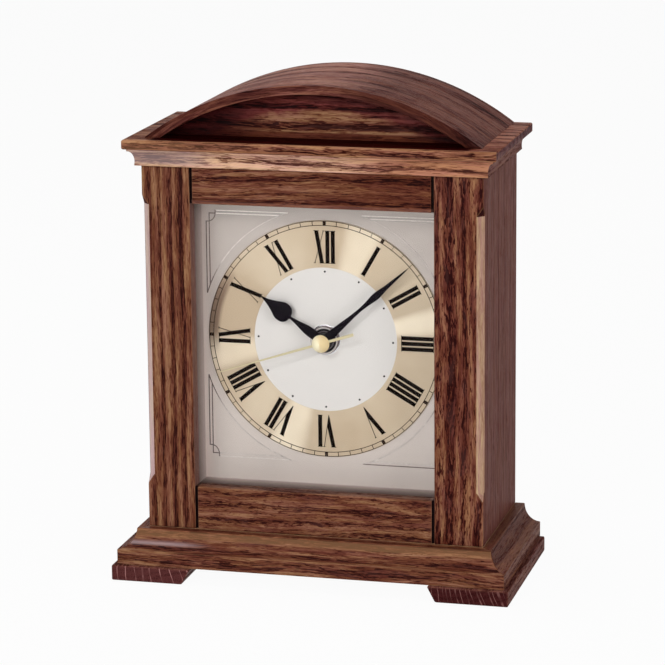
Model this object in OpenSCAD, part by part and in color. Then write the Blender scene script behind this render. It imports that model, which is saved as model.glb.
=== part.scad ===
// Wooden mantel clock: a glazed case on a moulded plinth with two foot runners,
// a moulded cap with an arched hood, a Roman dial and a battery movement.
// Millimetres. X runs along the front, Y runs to the back and Z runs up.
// The origin is on the floor, under the middle of the clock's outer box.

/* [Case] */
// Width of the case body
body_w = 171; // [150:1:200]
// Depth of the case body
body_d = 81.5; // [76:0.5:110]
// Height of the case body, from the plinth to the cap
body_h = 192.3; // [180:0.5:230]
// Thickness of the side panels
panel_t = 12; // [8:0.5:14]
// Width of the two front stiles
stile_w = 24.4; // [18:0.2:27]
// Depth of the stiles and rails
frame_t = 18; // [15:0.5:22]
// Height of the top rail
top_rail_h = 26.9; // [20:0.1:32]
// Height of the bottom rail
bottom_rail_h = 21.8; // [16:0.1:26]
// Width and depth of the dark grooves where rails meet stiles
joint_groove = 1.3; // [0.6:0.1:2.5]
// Width of the stopped chamfers on the outer corners
chamfer_w = 3.4; // [1:0.1:6]
// Distance from the plinth to the lower end of a chamfer
chamfer_low = 22; // [10:0.5:40]
// Distance from the cap to the upper end of a chamfer
chamfer_high = 23; // [12:0.5:40]
// Length of the sloping stop at each end of a chamfer
chamfer_stop = 5; // [2:0.5:12]
// Thickness of the inner top board
top_board_t = 12; // [6:0.5:18]
// Thickness of the back panel
back_t = 4; // [2:0.5:6]
// Width of the access opening in the back panel
access_w = 92; // [70:1:120]
// Height of the access opening in the back panel
access_h = 92; // [70:1:120]

/* [Plinth and feet] */
// Height of the foot runners
foot_h = 7.8; // [4:0.1:14]
// Width of a foot runner at the floor
foot_w = 36.4; // [20:0.2:50]
// Slope of the runner's inner edge, added to its width at the top
foot_bevel = 4.1; // [0:0.1:8]
// Step from the plinth's face out to the foot runner
foot_step = 2.4; // [0.5:0.1:5]
// Height of the plinth's upright fascia
fascia_h = 7.8; // [4:0.1:14]
// Height of the plinth's hollow moulding
cove_h = 9.3; // [5:0.1:14]
// Projection of the fascia from the body
plinth_proj = 13.1; // [8:0.1:18]
// Width of the flat ledge at the top of the plinth
plinth_ledge = 5; // [2:0.1:7]

/* [Cap and cornice] */
// Thickness of the cap board
cap_t = 4.8; // [3:0.1:8]
// Projection of the cap board from the body, at the front and sides
cap_proj = 7.6; // [6.2:0.1:12]
// Projection of the cap board behind the body
cap_back = 1.8; // [0:0.1:4]
// Rounding of the cap board's edges
cap_ease = 0.8; // [0.3:0.1:1.5]
// Height of the cornice moulding
cornice_h = 8.6; // [6:0.1:12]
// Projection of the cornice moulding at its top
cornice_top = 5.7; // [4.6:0.1:6]
// Projection of the cornice moulding at its foot
cornice_foot = 3.1; // [2:0.1:4]
// Radius of the bead at the cornice's foot
cornice_bead = 1.1; // [0.5:0.1:1.6]

/* [Hood] */
// Rise of the arched hood above the cap
hood_rise = 28; // [16:0.5:40]
// Thickness of the bent hood board
hood_t = 4.6; // [3:0.1:8]
// Inset of the hood's ends from the body's sides
hood_side = 1.2; // [0:0.1:6]
// Inset of the hood's front edge from the body's front
hood_front = 1.7; // [0:0.1:6]
// Inset of the hood's rear edge from the cap's rear edge
hood_back = 1; // [0:0.1:6]
// Depth of the recess in front of each end panel of the hood
recess_d = 12; // [4:0.5:25]
// Thickness of the hood's end panels
tymp_t = 6; // [3:0.5:10]

/* [Dial] */
// Depth of the glass behind the front face
glass_set = 8; // [5:0.5:9.5]
// Thickness of the glass
glass_t = 2; // [1.5:0.1:2.5]
// Cover of the frame over the edge of the glass
glass_cover = 5; // [4:0.1:7]
// Depth of the dial behind the front face
dial_set = 26.9; // [25.5:0.1:32]
// Width by which the dark spacer shows beyond the frame's edge
spacer_gap = 2.2; // [1:0.1:3]
// Thickness of the dial plate
plate_t = 0.8; // [0.5:0.1:1.2]
// Thickness of the board that carries dial and movement
board_t = 3; // [2.5:0.1:4]
// Margin from the chapter ring to the edge of the opening
ring_margin = 0.8; // [0:0.1:5]
// Thickness of the chapter ring
ring_t = 0.6; // [0.4:0.1:1]
// Width of the gold ring's face, from the centre disc to its rim
ring_band = 23.7; // [23:0.1:30]
// Thickness of the white centre disc
disc_t = 0.3; // [0.2:0.1:0.4]
// Height of the dial's centre above the middle of the opening
dial_rise = 0.6; // [-2:0.1:2]

/* [Dial marks] */
// Thickness of the printed marks
ink_t = 0.12; // [0.08:0.02:0.2]
// Gap from the centre disc to the numerals
numeral_gap = 2.1; // [0.5:0.1:4]
// Gap from the numerals to the minute track
numeral_rim = 2.44; // [1:0.02:5]
// Width of a thick stroke
stroke_w = 2; // [1:0.05:2.1]
// Width of a hairline
hair_w = 0.32; // [0.2:0.02:0.5]
// Distance from one upright stroke to the next
stroke_pitch = 2.75; // [2.2:0.05:3]
// Height of the minute track
track_h = 2.5; // [1.5:0.1:2.6]
// Distance from the rim of the centre disc to the hour dots
dot_inset = 2.1; // [1:0.1:8]
// Radius of an hour dot
dot_r = 0.5; // [0.3:0.05:0.8]

/* [Hands] */
// Turn of the hour hand from twelve, in degrees
hour_angle = 304.35; // [0:0.05:359.95]
// Turn of the minute hand from twelve, in degrees
minute_angle = 48.1; // [0:0.1:359.9]
// Turn of the second hand from twelve, in degrees
second_angle = 252; // [0:6:354]
// Reach of the hour hand past the centre disc
hour_reach = 3.1; // [-4:0.1:4]
// Half the width of the hour hand's spade
spade_r = 5; // [3:0.1:6]
// Distance from the minute hand's tip to the rim of the chapter ring
minute_short = 0.1; // [0:0.1:12]
// Distance from the second hand's tip to the rim of the chapter ring
second_short = 5.3; // [0:0.1:15]
// Length of the second hand's tail
tail_len = 17.6; // [10:0.1:25]
// Radius of the round cap on the second hand
boss_r = 4.5; // [2.5:0.1:5]
// Thickness of the hands
hand_t = 0.45; // [0.3:0.05:0.6]

/* [Movement] */
// Room between the battery and each end wall of its bay
cell_room = 1.6; // [1.2:0.1:4]
// Depth of the movement
mov_d = 16; // [15.9:0.1:18]
// Wall of the movement's case
mov_wall = 1.4; // [1:0.1:1.6]
// Length of the battery
cell_len = 50; // [48:0.1:50.5]
// Radius of the battery
cell_r = 7.1; // [6.8:0.05:7.15]
// Radius of the threaded bush
bush_r = 4; // [3.6:0.1:4.5]
// Radius of the round fixing nut
nut_r = 7.2; // [6:0.1:9]
// Thickness of the fixing nut
nut_t = 2.2; // [1.6:0.1:2.6]
// Thickness of the washer
washer_t = 0.5; // [0.3:0.1:0.8]
// Radius of the setting knob
knob_r = 6; // [4:0.1:7.5]
// Length of the setting knob
knob_h = 4; // [3:0.1:6]

/* [Gear train] */
// Module of the third wheel and the second pinion
third_mod = 0.3; // [0.28:0.01:0.32]
// Module of the motion wheel and the cannon pinion
motion_mod = 0.5; // [0.46:0.01:0.52]
// Module of the intermediate pinion and the second wheel
inter_mod = 0.25; // [0.24:0.005:0.26]
// Module of the rotor pinion and the intermediate wheel
rotor_mod = 0.2; // [0.19:0.005:0.21]
// Thickness of a wheel
wheel_t = 0.6; // [0.4:0.05:0.8]
// Running clearance round shafts
run_gap = 0.08; // [0.05:0.01:0.1]

/* [Hidden] */
$fn = 64;

// Woods and metals, as the clock shows them
oak = [0.43, 0.25, 0.15];
oak_dark = [0.30, 0.17, 0.11];
gold = [0.80, 0.70, 0.50];
steel = [0.75, 0.75, 0.77];
black = [0.06, 0.06, 0.07];
white = [0.88, 0.88, 0.86];
silver_grey = [0.74, 0.72, 0.71];
brass_tint = [0.78, 0.66, 0.36];
plastic = [0.20, 0.20, 0.22];

// Small clearances and overruns
eps = 0.5;                   // overrun of every cut
fit_gap = 0.15;              // easy fit of loose pieces in their rebates
seat_gap = 0.1;              // gap between pieces that turn past each other

// Levels, from the floor up
plinth_h = fascia_h + cove_h;
body_z = foot_h + plinth_h;
cap_z = body_z + body_h;
cap_top = cap_z + cap_t;
open_z0 = body_z + bottom_rail_h;
open_z1 = cap_z - top_rail_h;
dial_z = (open_z0 + open_z1) / 2 + dial_rise;
open_half = (open_z1 - open_z0) / 2 - abs(dial_rise);
cornice_z = cap_z - cornice_h;

// Places from side to side
half_w = body_w / 2;
inner_w = half_w - panel_t;
open_w = half_w - stile_w;
plinth_w = half_w + plinth_proj;
foot_out = plinth_w + foot_step;

// The dial fills the opening
ring_r = min(open_w, open_half) - ring_margin;
disc_r = ring_r - ring_band;
dot_ring_r = disc_r - dot_inset;
numeral_in = disc_r + numeral_gap;
track_out = ring_r - hair_w / 2;
track_in = track_out - track_h;
numeral_h = track_in - numeral_rim - numeral_in;

// Places from front to back
front_proj = plinth_proj + foot_step;
front_y = -(front_proj + body_d + cap_back) / 2 + front_proj;
back_y = front_y + body_d;
glass_y = front_y + glass_set;
glass_back = glass_y + glass_t;
dial_y = front_y + dial_set;
plate_back = dial_y + plate_t;
board_back = plate_back + board_t;
frame_back = front_y + frame_t;
mov_y = board_back;
mov_back = mov_y + mov_d;

// The hood's circle through its two ends and its crown
hood_half = half_w - hood_side;
hood_r = (hood_half * hood_half + hood_rise * hood_rise) / (2 * hood_rise);
hood_z = cap_top + hood_rise - hood_r;
hood_y0 = front_y + hood_front;
hood_y1 = back_y + cap_back - hood_back;
hood_fn = 360;

// The dial's spacer lies in the frame's rebate, behind the glass
spacer_in_w = open_w + spacer_gap;
spacer_out_w = open_w + glass_cover - fit_gap;
spacer_in_z0 = open_z0 - spacer_gap;
spacer_in_z1 = open_z1 + spacer_gap;
spacer_out_z0 = open_z0 - glass_cover + fit_gap;
spacer_out_z1 = open_z1 + glass_cover - fit_gap;

// Screws that hold the back panel
screw_r = 3;
screw_head = 1.2;
screw_pin_r = 1.2;
screw_len = 10;
screw_margin = 5.5;
pilot_r = screw_pin_r + 0.05;
back_margin = 1.5;           // depth of the panel's seat inside the body's rear edge
panel_rear = back_y - back_margin;
back_z0 = body_z + fit_gap;
back_z1 = cap_z - fit_gap;
back_w = half_w - panel_t / 2;
access_z = dial_z;

// Pipes and arbors round the dial's axis, from the inside out
arbor_r = 0.5;
minute_bore = arbor_r + run_gap;
minute_pipe = 1.2;
hour_bore = minute_pipe + run_gap;
hour_pipe = 2.1;
bush_bore = hour_pipe + run_gap;
pivot_r = 0.4;

// Hands, measured forward from the dial plate
disc_y = dial_y - disc_t;
washer_y = disc_y - washer_t;
nut_y = washer_y - nut_t;
hour_lift = 1.8;             // from the nut's face to the hour hand
minute_lift = 2.5;           // from the hour hand to the minute hand
second_lift = 2.4;           // from the minute hand to the second hand
bush_tip = nut_y - hour_lift / 2;
hour_y = nut_y - hour_lift;
minute_y = hour_y - minute_lift;
second_y = minute_y - second_lift;
cap_dome = 2.4;              // height of the second hand's round cap
hour_len = disc_r + hour_reach;
minute_len = ring_r - minute_short;
second_len = ring_r - second_short;

// Teeth of the train
second_pinion_n = 8;
third_wheel_n = 64;
third_pinion_n = 8;
centre_wheel_n = 60;
cannon_n = 12;
motion_wheel_n = 36;
motion_pinion_n = 10;
hour_wheel_n = 40;
rotor_pinion_n = 10;
inter_wheel_n = 60;
inter_pinion_n = 12;
second_wheel_n = 60;

// Centre distances that follow from teeth and modules
third_dist = third_mod * (second_pinion_n + third_wheel_n) / 2;
centre_mod = 2 * third_dist / (third_pinion_n + centre_wheel_n);
motion_dist = motion_mod * (cannon_n + motion_wheel_n) / 2;
hour_mod = 2 * motion_dist / (motion_pinion_n + hour_wheel_n);
inter_dist = inter_mod * (inter_pinion_n + second_wheel_n) / 2;
rotor_dist = rotor_mod * (rotor_pinion_n + inter_wheel_n) / 2;

// Directions of the arbors, counted clockwise from twelve as the dial is seen
third_dir = -80;
motion_dir = 60;
inter_dir = 0;
rotor_dir = 40;
function polar(r, a) = [r * sin(a), r * cos(a)];
third_at = polar(third_dist, third_dir);
motion_at = polar(motion_dist, motion_dir);
inter_at = polar(inter_dist, inter_dir);
rotor_at = inter_at + polar(rotor_dist, rotor_dir);

// Layers of the train, measured back from the movement's front
layer_gap = 0.35;
layer_step = wheel_t + layer_gap;
pinion_t = wheel_t + layer_gap;
layer_first = mov_wall + layer_gap;
hour_layer = layer_first;
motion_layer = hour_layer + layer_step * 1.5;
centre_layer = motion_layer + layer_step * 1.5;
third_layer = centre_layer + layer_step * 2;
second_layer = third_layer + layer_step * 2;
inter_layer = second_layer + layer_step * 2;
magnet_layer = second_layer;
magnet_t = 1.6;
magnet_r = 2.4;
magnet_gap = 0.5;
stator_t = 0.8;
stator_w = 6.4;
pivot_len = 0.9;             // depth of a pivot in its bearing
mov_inside = mov_d - mov_wall;

// The bridge that carries the front pivots of the rotor and the intermediate wheel
bridge_t = 0.7;
bridge_y = mov_y + second_layer - layer_gap - bridge_t;
bridge_margin = 1.6;
bridge_h = 7;
post_r = 1.2;
post_at = [rotor_at + [-9.5, 1.8], rotor_at + [6.8, 3.6]];

// The battery bay, at the bottom of the movement
train_half = 26.6;           // half the width that the train and the coil need
half_mov = max(cell_len / 2 + cell_room, train_half) + mov_wall;
cell_clear = 0.3;
bay_h = 2 * (cell_r + cell_clear);
bay_z0 = -half_mov + mov_wall;
bay_z1 = bay_z0 + bay_h;
bay_z = (bay_z0 + bay_z1) / 2;
bay_w = half_mov - mov_wall;
cell_y = mov_wall + cell_clear + cell_r;
cell_cap_r = 2.7;
cell_cap_len = 1.2;
contact_t = 0.4;
contact_w = 9;
contact_h = 10;
contact_nub_r = 2;

// Coil and circuit
coil_r = 2.6;
coil_len = 20;
coil_gap = 1;
coil_z = half_mov - mov_wall - coil_r - coil_gap;
core_w = 2.4;
stator_back = mov_y + magnet_layer + (magnet_t + stator_t) / 2;
stator_arm = coil_len / 2 + core_w;
pcb_t = 1;
pcb_w = 13;
pcb_h = 14;

// A plate whose back lies at the depth y, drawn as the dial is seen
module plate(y, t) {
    translate([0, y, dial_z]) rotate([90, 0, 0]) linear_extrude(t) children();
}

// A round turned piece on the axis at the place p, from the depth y backwards
module turned(p, y) {
    translate([p[0], y, dial_z + p[1]]) rotate([-90, 0, 0]) children();
}

// A block given by its two corners
module block(a, b) {
    translate(a) cube(b - a);
}

// A moulding with its profile drawn outwards and up, run along the front
module front_run(half, proj) {
    difference() {
        translate([-half - proj, front_y, 0]) rotate([90, 0, 90]) mirror([1, 0, 0])
            linear_extrude(2 * (half + proj)) children();
        for (s = [-1, 1]) mitre(s, half, proj);
    }
}

// A moulding run along one side
module side_run(s, half, proj) {
    difference() {
        translate([s * half, front_y - proj, 0]) mirror([s < 0 ? 1 : 0, 0, 0]) rotate([90, 0, 180])
            mirror([1, 0, 0]) linear_extrude(body_d + proj) children();
        side_mitre(s, half, proj);
    }
}

// The wedges taken off at the mitred corners
module mitre(s, half, proj) {
    translate([s * half, front_y, -eps]) mirror([s < 0 ? 1 : 0, 0, 0])
        linear_extrude(cap_top + hood_rise)
            polygon([[0, 0], [proj + eps, 0], [proj + eps, -proj - eps]]);
}
module side_mitre(s, half, proj) {
    translate([s * half, front_y, -eps]) mirror([s < 0 ? 1 : 0, 0, 0])
        linear_extrude(cap_top + hood_rise)
            polygon([[0, 0], [0, -proj - eps], [proj + eps, -proj - eps]]);
}

// Plinth moulding profile: an upright fascia under a hollow that ends at a flat ledge
module plinth_profile() {
    hollow = plinth_proj - plinth_ledge;
    difference() {
        translate([0, foot_h]) square([plinth_proj, plinth_h]);
        translate([plinth_proj, body_z]) scale([hollow, cove_h]) circle(1, $fn = 96);
    }
}

// Cornice profile: a shallow hollow over a small bead
module cornice_profile() {
    lip = cornice_bead;
    rise = cornice_h - 2 * lip;
    run = cornice_top - cornice_foot + lip / 2;
    difference() {
        union() {
            translate([0, cornice_z + lip]) square([cornice_top, cornice_h - lip]);
            translate([0, cornice_z]) square([cornice_foot - lip, 2 * lip]);
            translate([cornice_foot - lip, cornice_z + lip]) circle(lip);
        }
        translate([cornice_top, cornice_z + 2 * lip]) scale([run, rise - lip]) circle(1, $fn = 96);
        translate([cornice_foot, cornice_z]) square([cornice_top, 2 * lip]);
    }
}

module foot(s) {
    mirror([s < 0 ? 1 : 0, 0, 0]) translate([foot_out, back_y, 0]) rotate([90, 0, 0])
        linear_extrude(body_d + front_proj)
            polygon([[-foot_w, 0], [0, 0], [0, foot_h], [-foot_w - foot_bevel, foot_h]]);
}
module left_foot() { color(oak_dark) foot(-1); }
module right_foot() { color(oak_dark) foot(1); }

module base_board() {
    color(oak) block([-half_w, front_y, foot_h], [half_w, back_y, body_z]);
}
module plinth_front() { color(oak) front_run(half_w, plinth_proj) plinth_profile(); }
module plinth_left() { color(oak) side_run(-1, half_w, plinth_proj) plinth_profile(); }
module plinth_right() { color(oak) side_run(1, half_w, plinth_proj) plinth_profile(); }

// A side panel, with a rebate at its rear edge for the back panel
module side_panel(s) {
    mirror([s < 0 ? 1 : 0, 0, 0]) difference() {
        block([inner_w, frame_back, body_z], [half_w, back_y, cap_z]);
        block([inner_w - eps, panel_rear - back_t, body_z - eps],
            [back_w + fit_gap, back_y + eps, cap_z + eps]);
        for (p = screw_places()) translate([p[0], panel_rear + screw_head, p[1]]) rotate([90, 0, 0])
            cylinder(r = pilot_r, h = screw_len + seat_gap);
    }
}
module left_side_panel() { color(oak) side_panel(-1); }
module right_side_panel() { color(oak) side_panel(1); }

// The chamfer on a stile's outer corner runs out in a slope at each end
module chamfer_cut() {
    z0 = body_z + chamfer_low;
    z1 = cap_z - chamfer_high;
    c = chamfer_w;
    translate([half_w, front_y, 0]) rotate([0, 0, 45]) rotate([90, 0, 90])
        translate([0, 0, -c]) linear_extrude(2 * c)
            polygon([[-c * 1.5, z0], [0, z0], [c / sqrt(2), z0 + chamfer_stop],
                [c / sqrt(2), z1 - chamfer_stop], [0, z1], [-c * 1.5, z1]]);
}

// A front stile, rebated behind for glass and spacer
module stile(s) {
    mirror([s < 0 ? 1 : 0, 0, 0]) difference() {
        block([open_w, front_y, body_z], [half_w, frame_back, cap_z]);
        block([open_w - eps, glass_y, open_z0 - glass_cover],
            [open_w + glass_cover, frame_back + eps, open_z1 + glass_cover]);
        chamfer_cut();
    }
}
module left_stile() { color(oak) stile(-1); }
module right_stile() { color(oak) stile(1); }

// A rail between the stiles, with a groove at each end of its face
module rail(z0, z1, cut0, cut1) {
    difference() {
        block([-open_w, front_y, z0], [open_w, frame_back, z1]);
        block([-open_w - eps, glass_y, cut0], [open_w + eps, frame_back + eps, cut1]);
        for (s = [-1, 1]) translate([s * open_w, front_y, (z0 + z1) / 2])
            cube([2 * joint_groove, 2 * joint_groove, z1 - z0 + eps], center = true);
    }
}
module top_rail() { color(oak) rail(open_z1, cap_z, open_z1 - eps, open_z1 + glass_cover); }
module bottom_rail() { color(oak) rail(body_z, open_z0, open_z0 - glass_cover, open_z0 + eps); }

module top_board() {
    color(oak_dark) block([-inner_w, frame_back, cap_z - top_board_t],
        [inner_w, panel_rear - back_t, cap_z]);
}

function screw_places() = [for (x = [-1, 1], z = [0, 1])
    [x * (back_w - screw_margin / 2), z == 0 ? back_z0 + screw_margin * 3 : back_z1 - screw_margin * 3]];

// The back panel lies in the sides' rebates and has a square access opening
module back_panel() {
    color(oak_dark) difference() {
        block([-back_w, panel_rear - back_t, back_z0], [back_w, panel_rear, back_z1]);
        block([-access_w / 2, panel_rear - back_t - eps, access_z - access_h / 2],
            [access_w / 2, panel_rear + eps, access_z + access_h / 2]);
        for (p = screw_places()) translate([p[0], panel_rear + eps, p[1]]) rotate([90, 0, 0])
            cylinder(r = pilot_r, h = back_t + 2 * eps);
    }
}
module back_screws() {
    color(steel) for (p = screw_places()) translate([p[0], panel_rear + screw_head, p[1]])
        rotate([90, 0, 0]) union() {
            cylinder(r = screw_r / 2 + screw_head / 2, h = screw_head);
            cylinder(r = screw_pin_r, h = screw_len);
        }
}

module cornice_front() { color(oak) front_run(half_w, cap_proj) cornice_profile(); }
module cornice_left() { color(oak) side_run(-1, half_w, cap_proj) cornice_profile(); }
module cornice_right() { color(oak) side_run(1, half_w, cap_proj) cornice_profile(); }

// The cap board's section: a flat board with eased front and side edges
module cap_board() {
    w = half_w + cap_proj;
    y0 = front_y - cap_proj;
    y1 = back_y + cap_back;
    color(oak) difference() {
        block([-w, y0, cap_z], [w, y1, cap_top]);
        for (z = [cap_z, cap_top]) {
            translate([-w - eps, y0, z]) rotate([0, 90, 0]) edge_cut(2 * (w + eps));
            for (s = [-1, 1]) translate([s * w, y1 + eps, z]) rotate([90, 0, 0])
                edge_cut(y1 - y0 + 2 * eps);
        }
    }
}

// A slim square bar turned on its corner, which takes the sharp arris off an edge
module edge_cut(len) {
    rotate([0, 0, 45]) translate([-cap_ease / 2, -cap_ease / 2, 0]) cube([cap_ease, cap_ease, len]);
}

// The space under a circle, above the cap
module segment(r) {
    intersection() {
        translate([0, hood_z]) circle(r, $fn = hood_fn);
        translate([-half_w, cap_top]) square([body_w, hood_rise + eps]);
    }
}
module arch_hood() {
    color(oak) translate([0, hood_y1, 0]) rotate([90, 0, 0]) linear_extrude(hood_y1 - hood_y0)
        difference() {
            segment(hood_r);
            translate([0, hood_z]) circle(hood_r - hood_t, $fn = hood_fn);
        }
}
module tympanum(y) {
    translate([0, y + tymp_t, 0]) rotate([90, 0, 0]) linear_extrude(tymp_t) segment(hood_r - hood_t);
}
module front_tympanum() { color(oak) tympanum(hood_y0 + recess_d); }
module rear_tympanum() { color(oak) tympanum(hood_y1 - recess_d - tymp_t); }

module glass_pane() {
    w = open_w + glass_cover - fit_gap;
    color([0.85, 0.9, 0.9, 0.25]) block([-w, glass_y, open_z0 - glass_cover + fit_gap],
        [w, glass_back, open_z1 + glass_cover - fit_gap]);
}

module spacer_top() {
    color(plastic) block([-spacer_out_w, glass_back, spacer_in_z1], [spacer_out_w, dial_y, spacer_out_z1]);
}
module spacer_bottom() {
    color(plastic) block([-spacer_out_w, glass_back, spacer_out_z0], [spacer_out_w, dial_y, spacer_in_z0]);
}
module spacer_side(s) {
    mirror([s < 0 ? 1 : 0, 0, 0])
        block([spacer_in_w, glass_back, spacer_in_z0], [spacer_out_w, dial_y, spacer_in_z1]);
}
module spacer_left() { color(plastic) spacer_side(-1); }
module spacer_right() { color(plastic) spacer_side(1); }

// The board behind the dial fills the case from side to side
module dial_board() {
    color(oak_dark) difference() {
        block([-inner_w, plate_back, body_z], [inner_w, board_back, cap_z - top_board_t]);
        turned([0, 0], plate_back - eps) cylinder(r = bush_r, h = board_t + 2 * eps);
    }
}
module dial_plate() {
    color(silver_grey) difference() {
        block([-spacer_out_w, dial_y, spacer_out_z0], [spacer_out_w, plate_back, spacer_out_z1]);
        turned([0, 0], dial_y - eps) cylinder(r = bush_r, h = plate_t + 2 * eps);
    }
}
module chapter_ring() {
    color(gold) plate(dial_y, ring_t) difference() {
        circle(ring_r, $fn = 240);
        circle(disc_r, $fn = 240);
    }
}
module centre_disc() {
    color(white) plate(dial_y, disc_t) difference() {
        circle(disc_r, $fn = 240);
        circle(bush_r);
    }
}

// A dot for each hour, printed on the centre disc
module hour_dots() {
    color(black) plate(disc_y, ink_t)
        for (h = [0 : 11]) translate(polar(dot_ring_r, 30 * h)) circle(dot_r, $fn = 24);
}

// Strokes of the numerals, each drawn from the numeral's foot up
module upright(x) {
    translate([x - stroke_w / 2, 0]) square([stroke_w, numeral_h]);
    serif(x, 0, stroke_w);
    serif(x, numeral_h - hair_w, stroke_w);
}
module serif(x, y, w) {
    translate([x - w / 2 - hair_w, y]) square([w + 2 * hair_w, hair_w]);
}
module slope(x0, x1, w) {
    polygon([[x0 - w / 2, 0], [x0 + w / 2, 0], [x1 + w / 2, numeral_h], [x1 - w / 2, numeral_h]]);
}
vee_w = 1.75 * stroke_pitch;
module vee(x) {
    join = stroke_w / (vee_w + stroke_w / 2);
    polygon([[x - hair_w / 2, 0], [x + hair_w / 2, 0], [x + join * vee_w / 2, join * numeral_h],
        [x - vee_w / 2 + stroke_w / 2, numeral_h], [x - vee_w / 2 - stroke_w / 2, numeral_h]]);
    slope(x, x + vee_w / 2, hair_w);
    serif(x - vee_w / 2, numeral_h - hair_w, stroke_w);
    serif(x + vee_w / 2, numeral_h - hair_w, hair_w);
}
ex_w = 1.6 * stroke_pitch;
module ex(x) {
    slope(x + ex_w / 3, x - ex_w / 3, stroke_w);
    slope(x - ex_w / 2, x + ex_w / 2, hair_w);
    for (y = [0, numeral_h - hair_w]) {
        serif(y == 0 ? x - ex_w / 2 : x + ex_w / 2, y, hair_w);
        serif(y == 0 ? x + ex_w / 3 : x - ex_w / 3, y, stroke_w);
    }
}

// Each numeral is a word of strokes, set out side by side and centred
words = ["XII", "I", "II", "III", "IIII", "V", "VI", "VII", "VIII", "IX", "X", "XI"];
function stroke_room(c) = c == "I" ? stroke_pitch : (c == "V" ? vee_w : ex_w) + stroke_pitch / 2;
function room_to(w, n) = n == 0 ? 0 : room_to(w, n - 1) + stroke_room(w[n - 1]);
module numeral(w) {
    total = room_to(w, len(w));
    for (i = [0 : len(w) - 1]) {
        x = room_to(w, i) + stroke_room(w[i]) / 2 - total / 2;
        if (w[i] == "I") upright(x);
        if (w[i] == "V") vee(x);
        if (w[i] == "X") ex(x);
    }
}
module hour_numerals() {
    color(black) plate(dial_y - ring_t, ink_t)
        for (h = [0 : 11]) rotate(-30 * h) translate([0, numeral_in]) numeral(words[h]);
}

// The minute track: two fine circles with a tick at each minute and a bold one at each hour
module minute_track() {
    color(black) plate(dial_y - ring_t, ink_t) union() {
        difference() {
            circle(track_out, $fn = 180);
            circle(track_out - hair_w, $fn = 180);
        }
        difference() {
            circle(track_in + hair_w, $fn = 180);
            circle(track_in, $fn = 180);
        }
        for (m = [0 : 59]) rotate(-6 * m) {
            w = m % 5 == 0 ? stroke_w * 0.8 : hair_w;
            translate([-w / 2, track_in + hair_w / 2]) square([w, track_h - hair_w]);
        }
    }
}

module washer() {
    color(steel) turned([0, 0], washer_y) difference() {
        cylinder(r = nut_r + washer_t, h = washer_t);
        translate([0, 0, -eps]) cylinder(r = bush_r, h = washer_t + 2 * eps);
    }
}
module fixing_nut() {
    color(steel) turned([0, 0], nut_y) difference() {
        rotate_extrude()
            polygon([[0, 0], [nut_r - nut_t / 2, 0], [nut_r, nut_t / 2], [nut_r, nut_t], [0, nut_t]]);
        translate([0, 0, -eps]) cylinder(r = bush_r, h = nut_t + 2 * eps);
    }
}

// A wheel or pinion with straight-sided teeth
pitch_share = 0.21;          // half a tooth at the pitch circle, as a share of the pitch
tip_share = 0.10;            // half a tooth at its tip
root_share = 0.28;           // half a tooth at its root
tip_rise_share = 0.85;       // addendum in modules
root_drop_share = 1.15;      // dedendum in modules
function tooth(n, mod, i) = let (
        r = mod * n / 2, a = 360 * i / n, p = 360 / n,
        tip = r + tip_rise_share * mod, root = r - root_drop_share * mod
    ) [polar(root, a - root_share * p), polar(r, a - pitch_share * p), polar(tip, a - tip_share * p),
        polar(tip, a + tip_share * p), polar(r, a + pitch_share * p), polar(root, a + root_share * p)];
module gear(n, mod, t, turn, hole) {
    rotate([0, 0, turn]) linear_extrude(t) difference() {
        polygon([for (i = [0 : n - 1]) for (p = tooth(n, mod, i)) p]);
        if (hole > 0) circle(hole);
    }
}

// An untouched tooth of a turned piece points to six, so a tooth faces the clock direction
// a after half a turn less. A gap faces it when half a pitch is added.
function face_tooth(a) = a - 180;
function face_gap(a, n) = a - 180 + 180 / n;

module shaft(p, y0, y1, r) {
    turned(p, y0) cylinder(r = r, h = y1 - y0, $fn = 48);
}

// Hour hand: a spade on a swelling stem, as shares of its length and of the spade
hour_hub_r = 3.4;
hour_stem_shares = [[0.06, 0.44], [0.19, 0.5], [0.27, 0.46], [0.40, 0.24], [0.50, 0.13], [0.515, 0.16]];
spade_shares = [[0.520, 0.42], [0.535, 0.64], [0.56, 0.84], [0.59, 0.96], [0.63, 1], [0.67, 0.98],
    [0.71, 0.83], [0.76, 0.6], [0.82, 0.38], [0.88, 0.2], [0.95, 0.07]];
module blade(len, half, shares) {
    polygon(concat([for (s = shares) [s[1] * half, s[0] * len]], [[0, len]],
        [for (i = [len(shares) - 1 : -1 : 0]) [-shares[i][1] * half, shares[i][0] * len]]));
}
module hand_plate(y, angle, hub, bore) {
    plate(y, hand_t) rotate(-angle) difference() {
        union() {
            circle(hub);
            children();
        }
        circle(bore);
    }
}
module hour_hand() {
    color(black) hand_plate(hour_y, hour_angle, hour_hub_r, hour_pipe)
        blade(hour_len, spade_r, concat(hour_stem_shares, spade_shares));
}

// Minute hand: tapers from the hub, swells again past the middle and ends in a point
minute_hub_r = 2.6;
minute_half = 2.1;
minute_shares = [[0.03, 1], [0.13, 0.98], [0.25, 0.72], [0.36, 0.46], [0.44, 0.4], [0.52, 0.55],
    [0.59, 0.82], [0.625, 0.86], [0.66, 0.76], [0.72, 0.54], [0.81, 0.38], [0.92, 0.2]];
module minute_hand() {
    color(black) hand_plate(minute_y, minute_angle, minute_hub_r, minute_pipe)
        blade(minute_len, minute_half, minute_shares);
}

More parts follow.
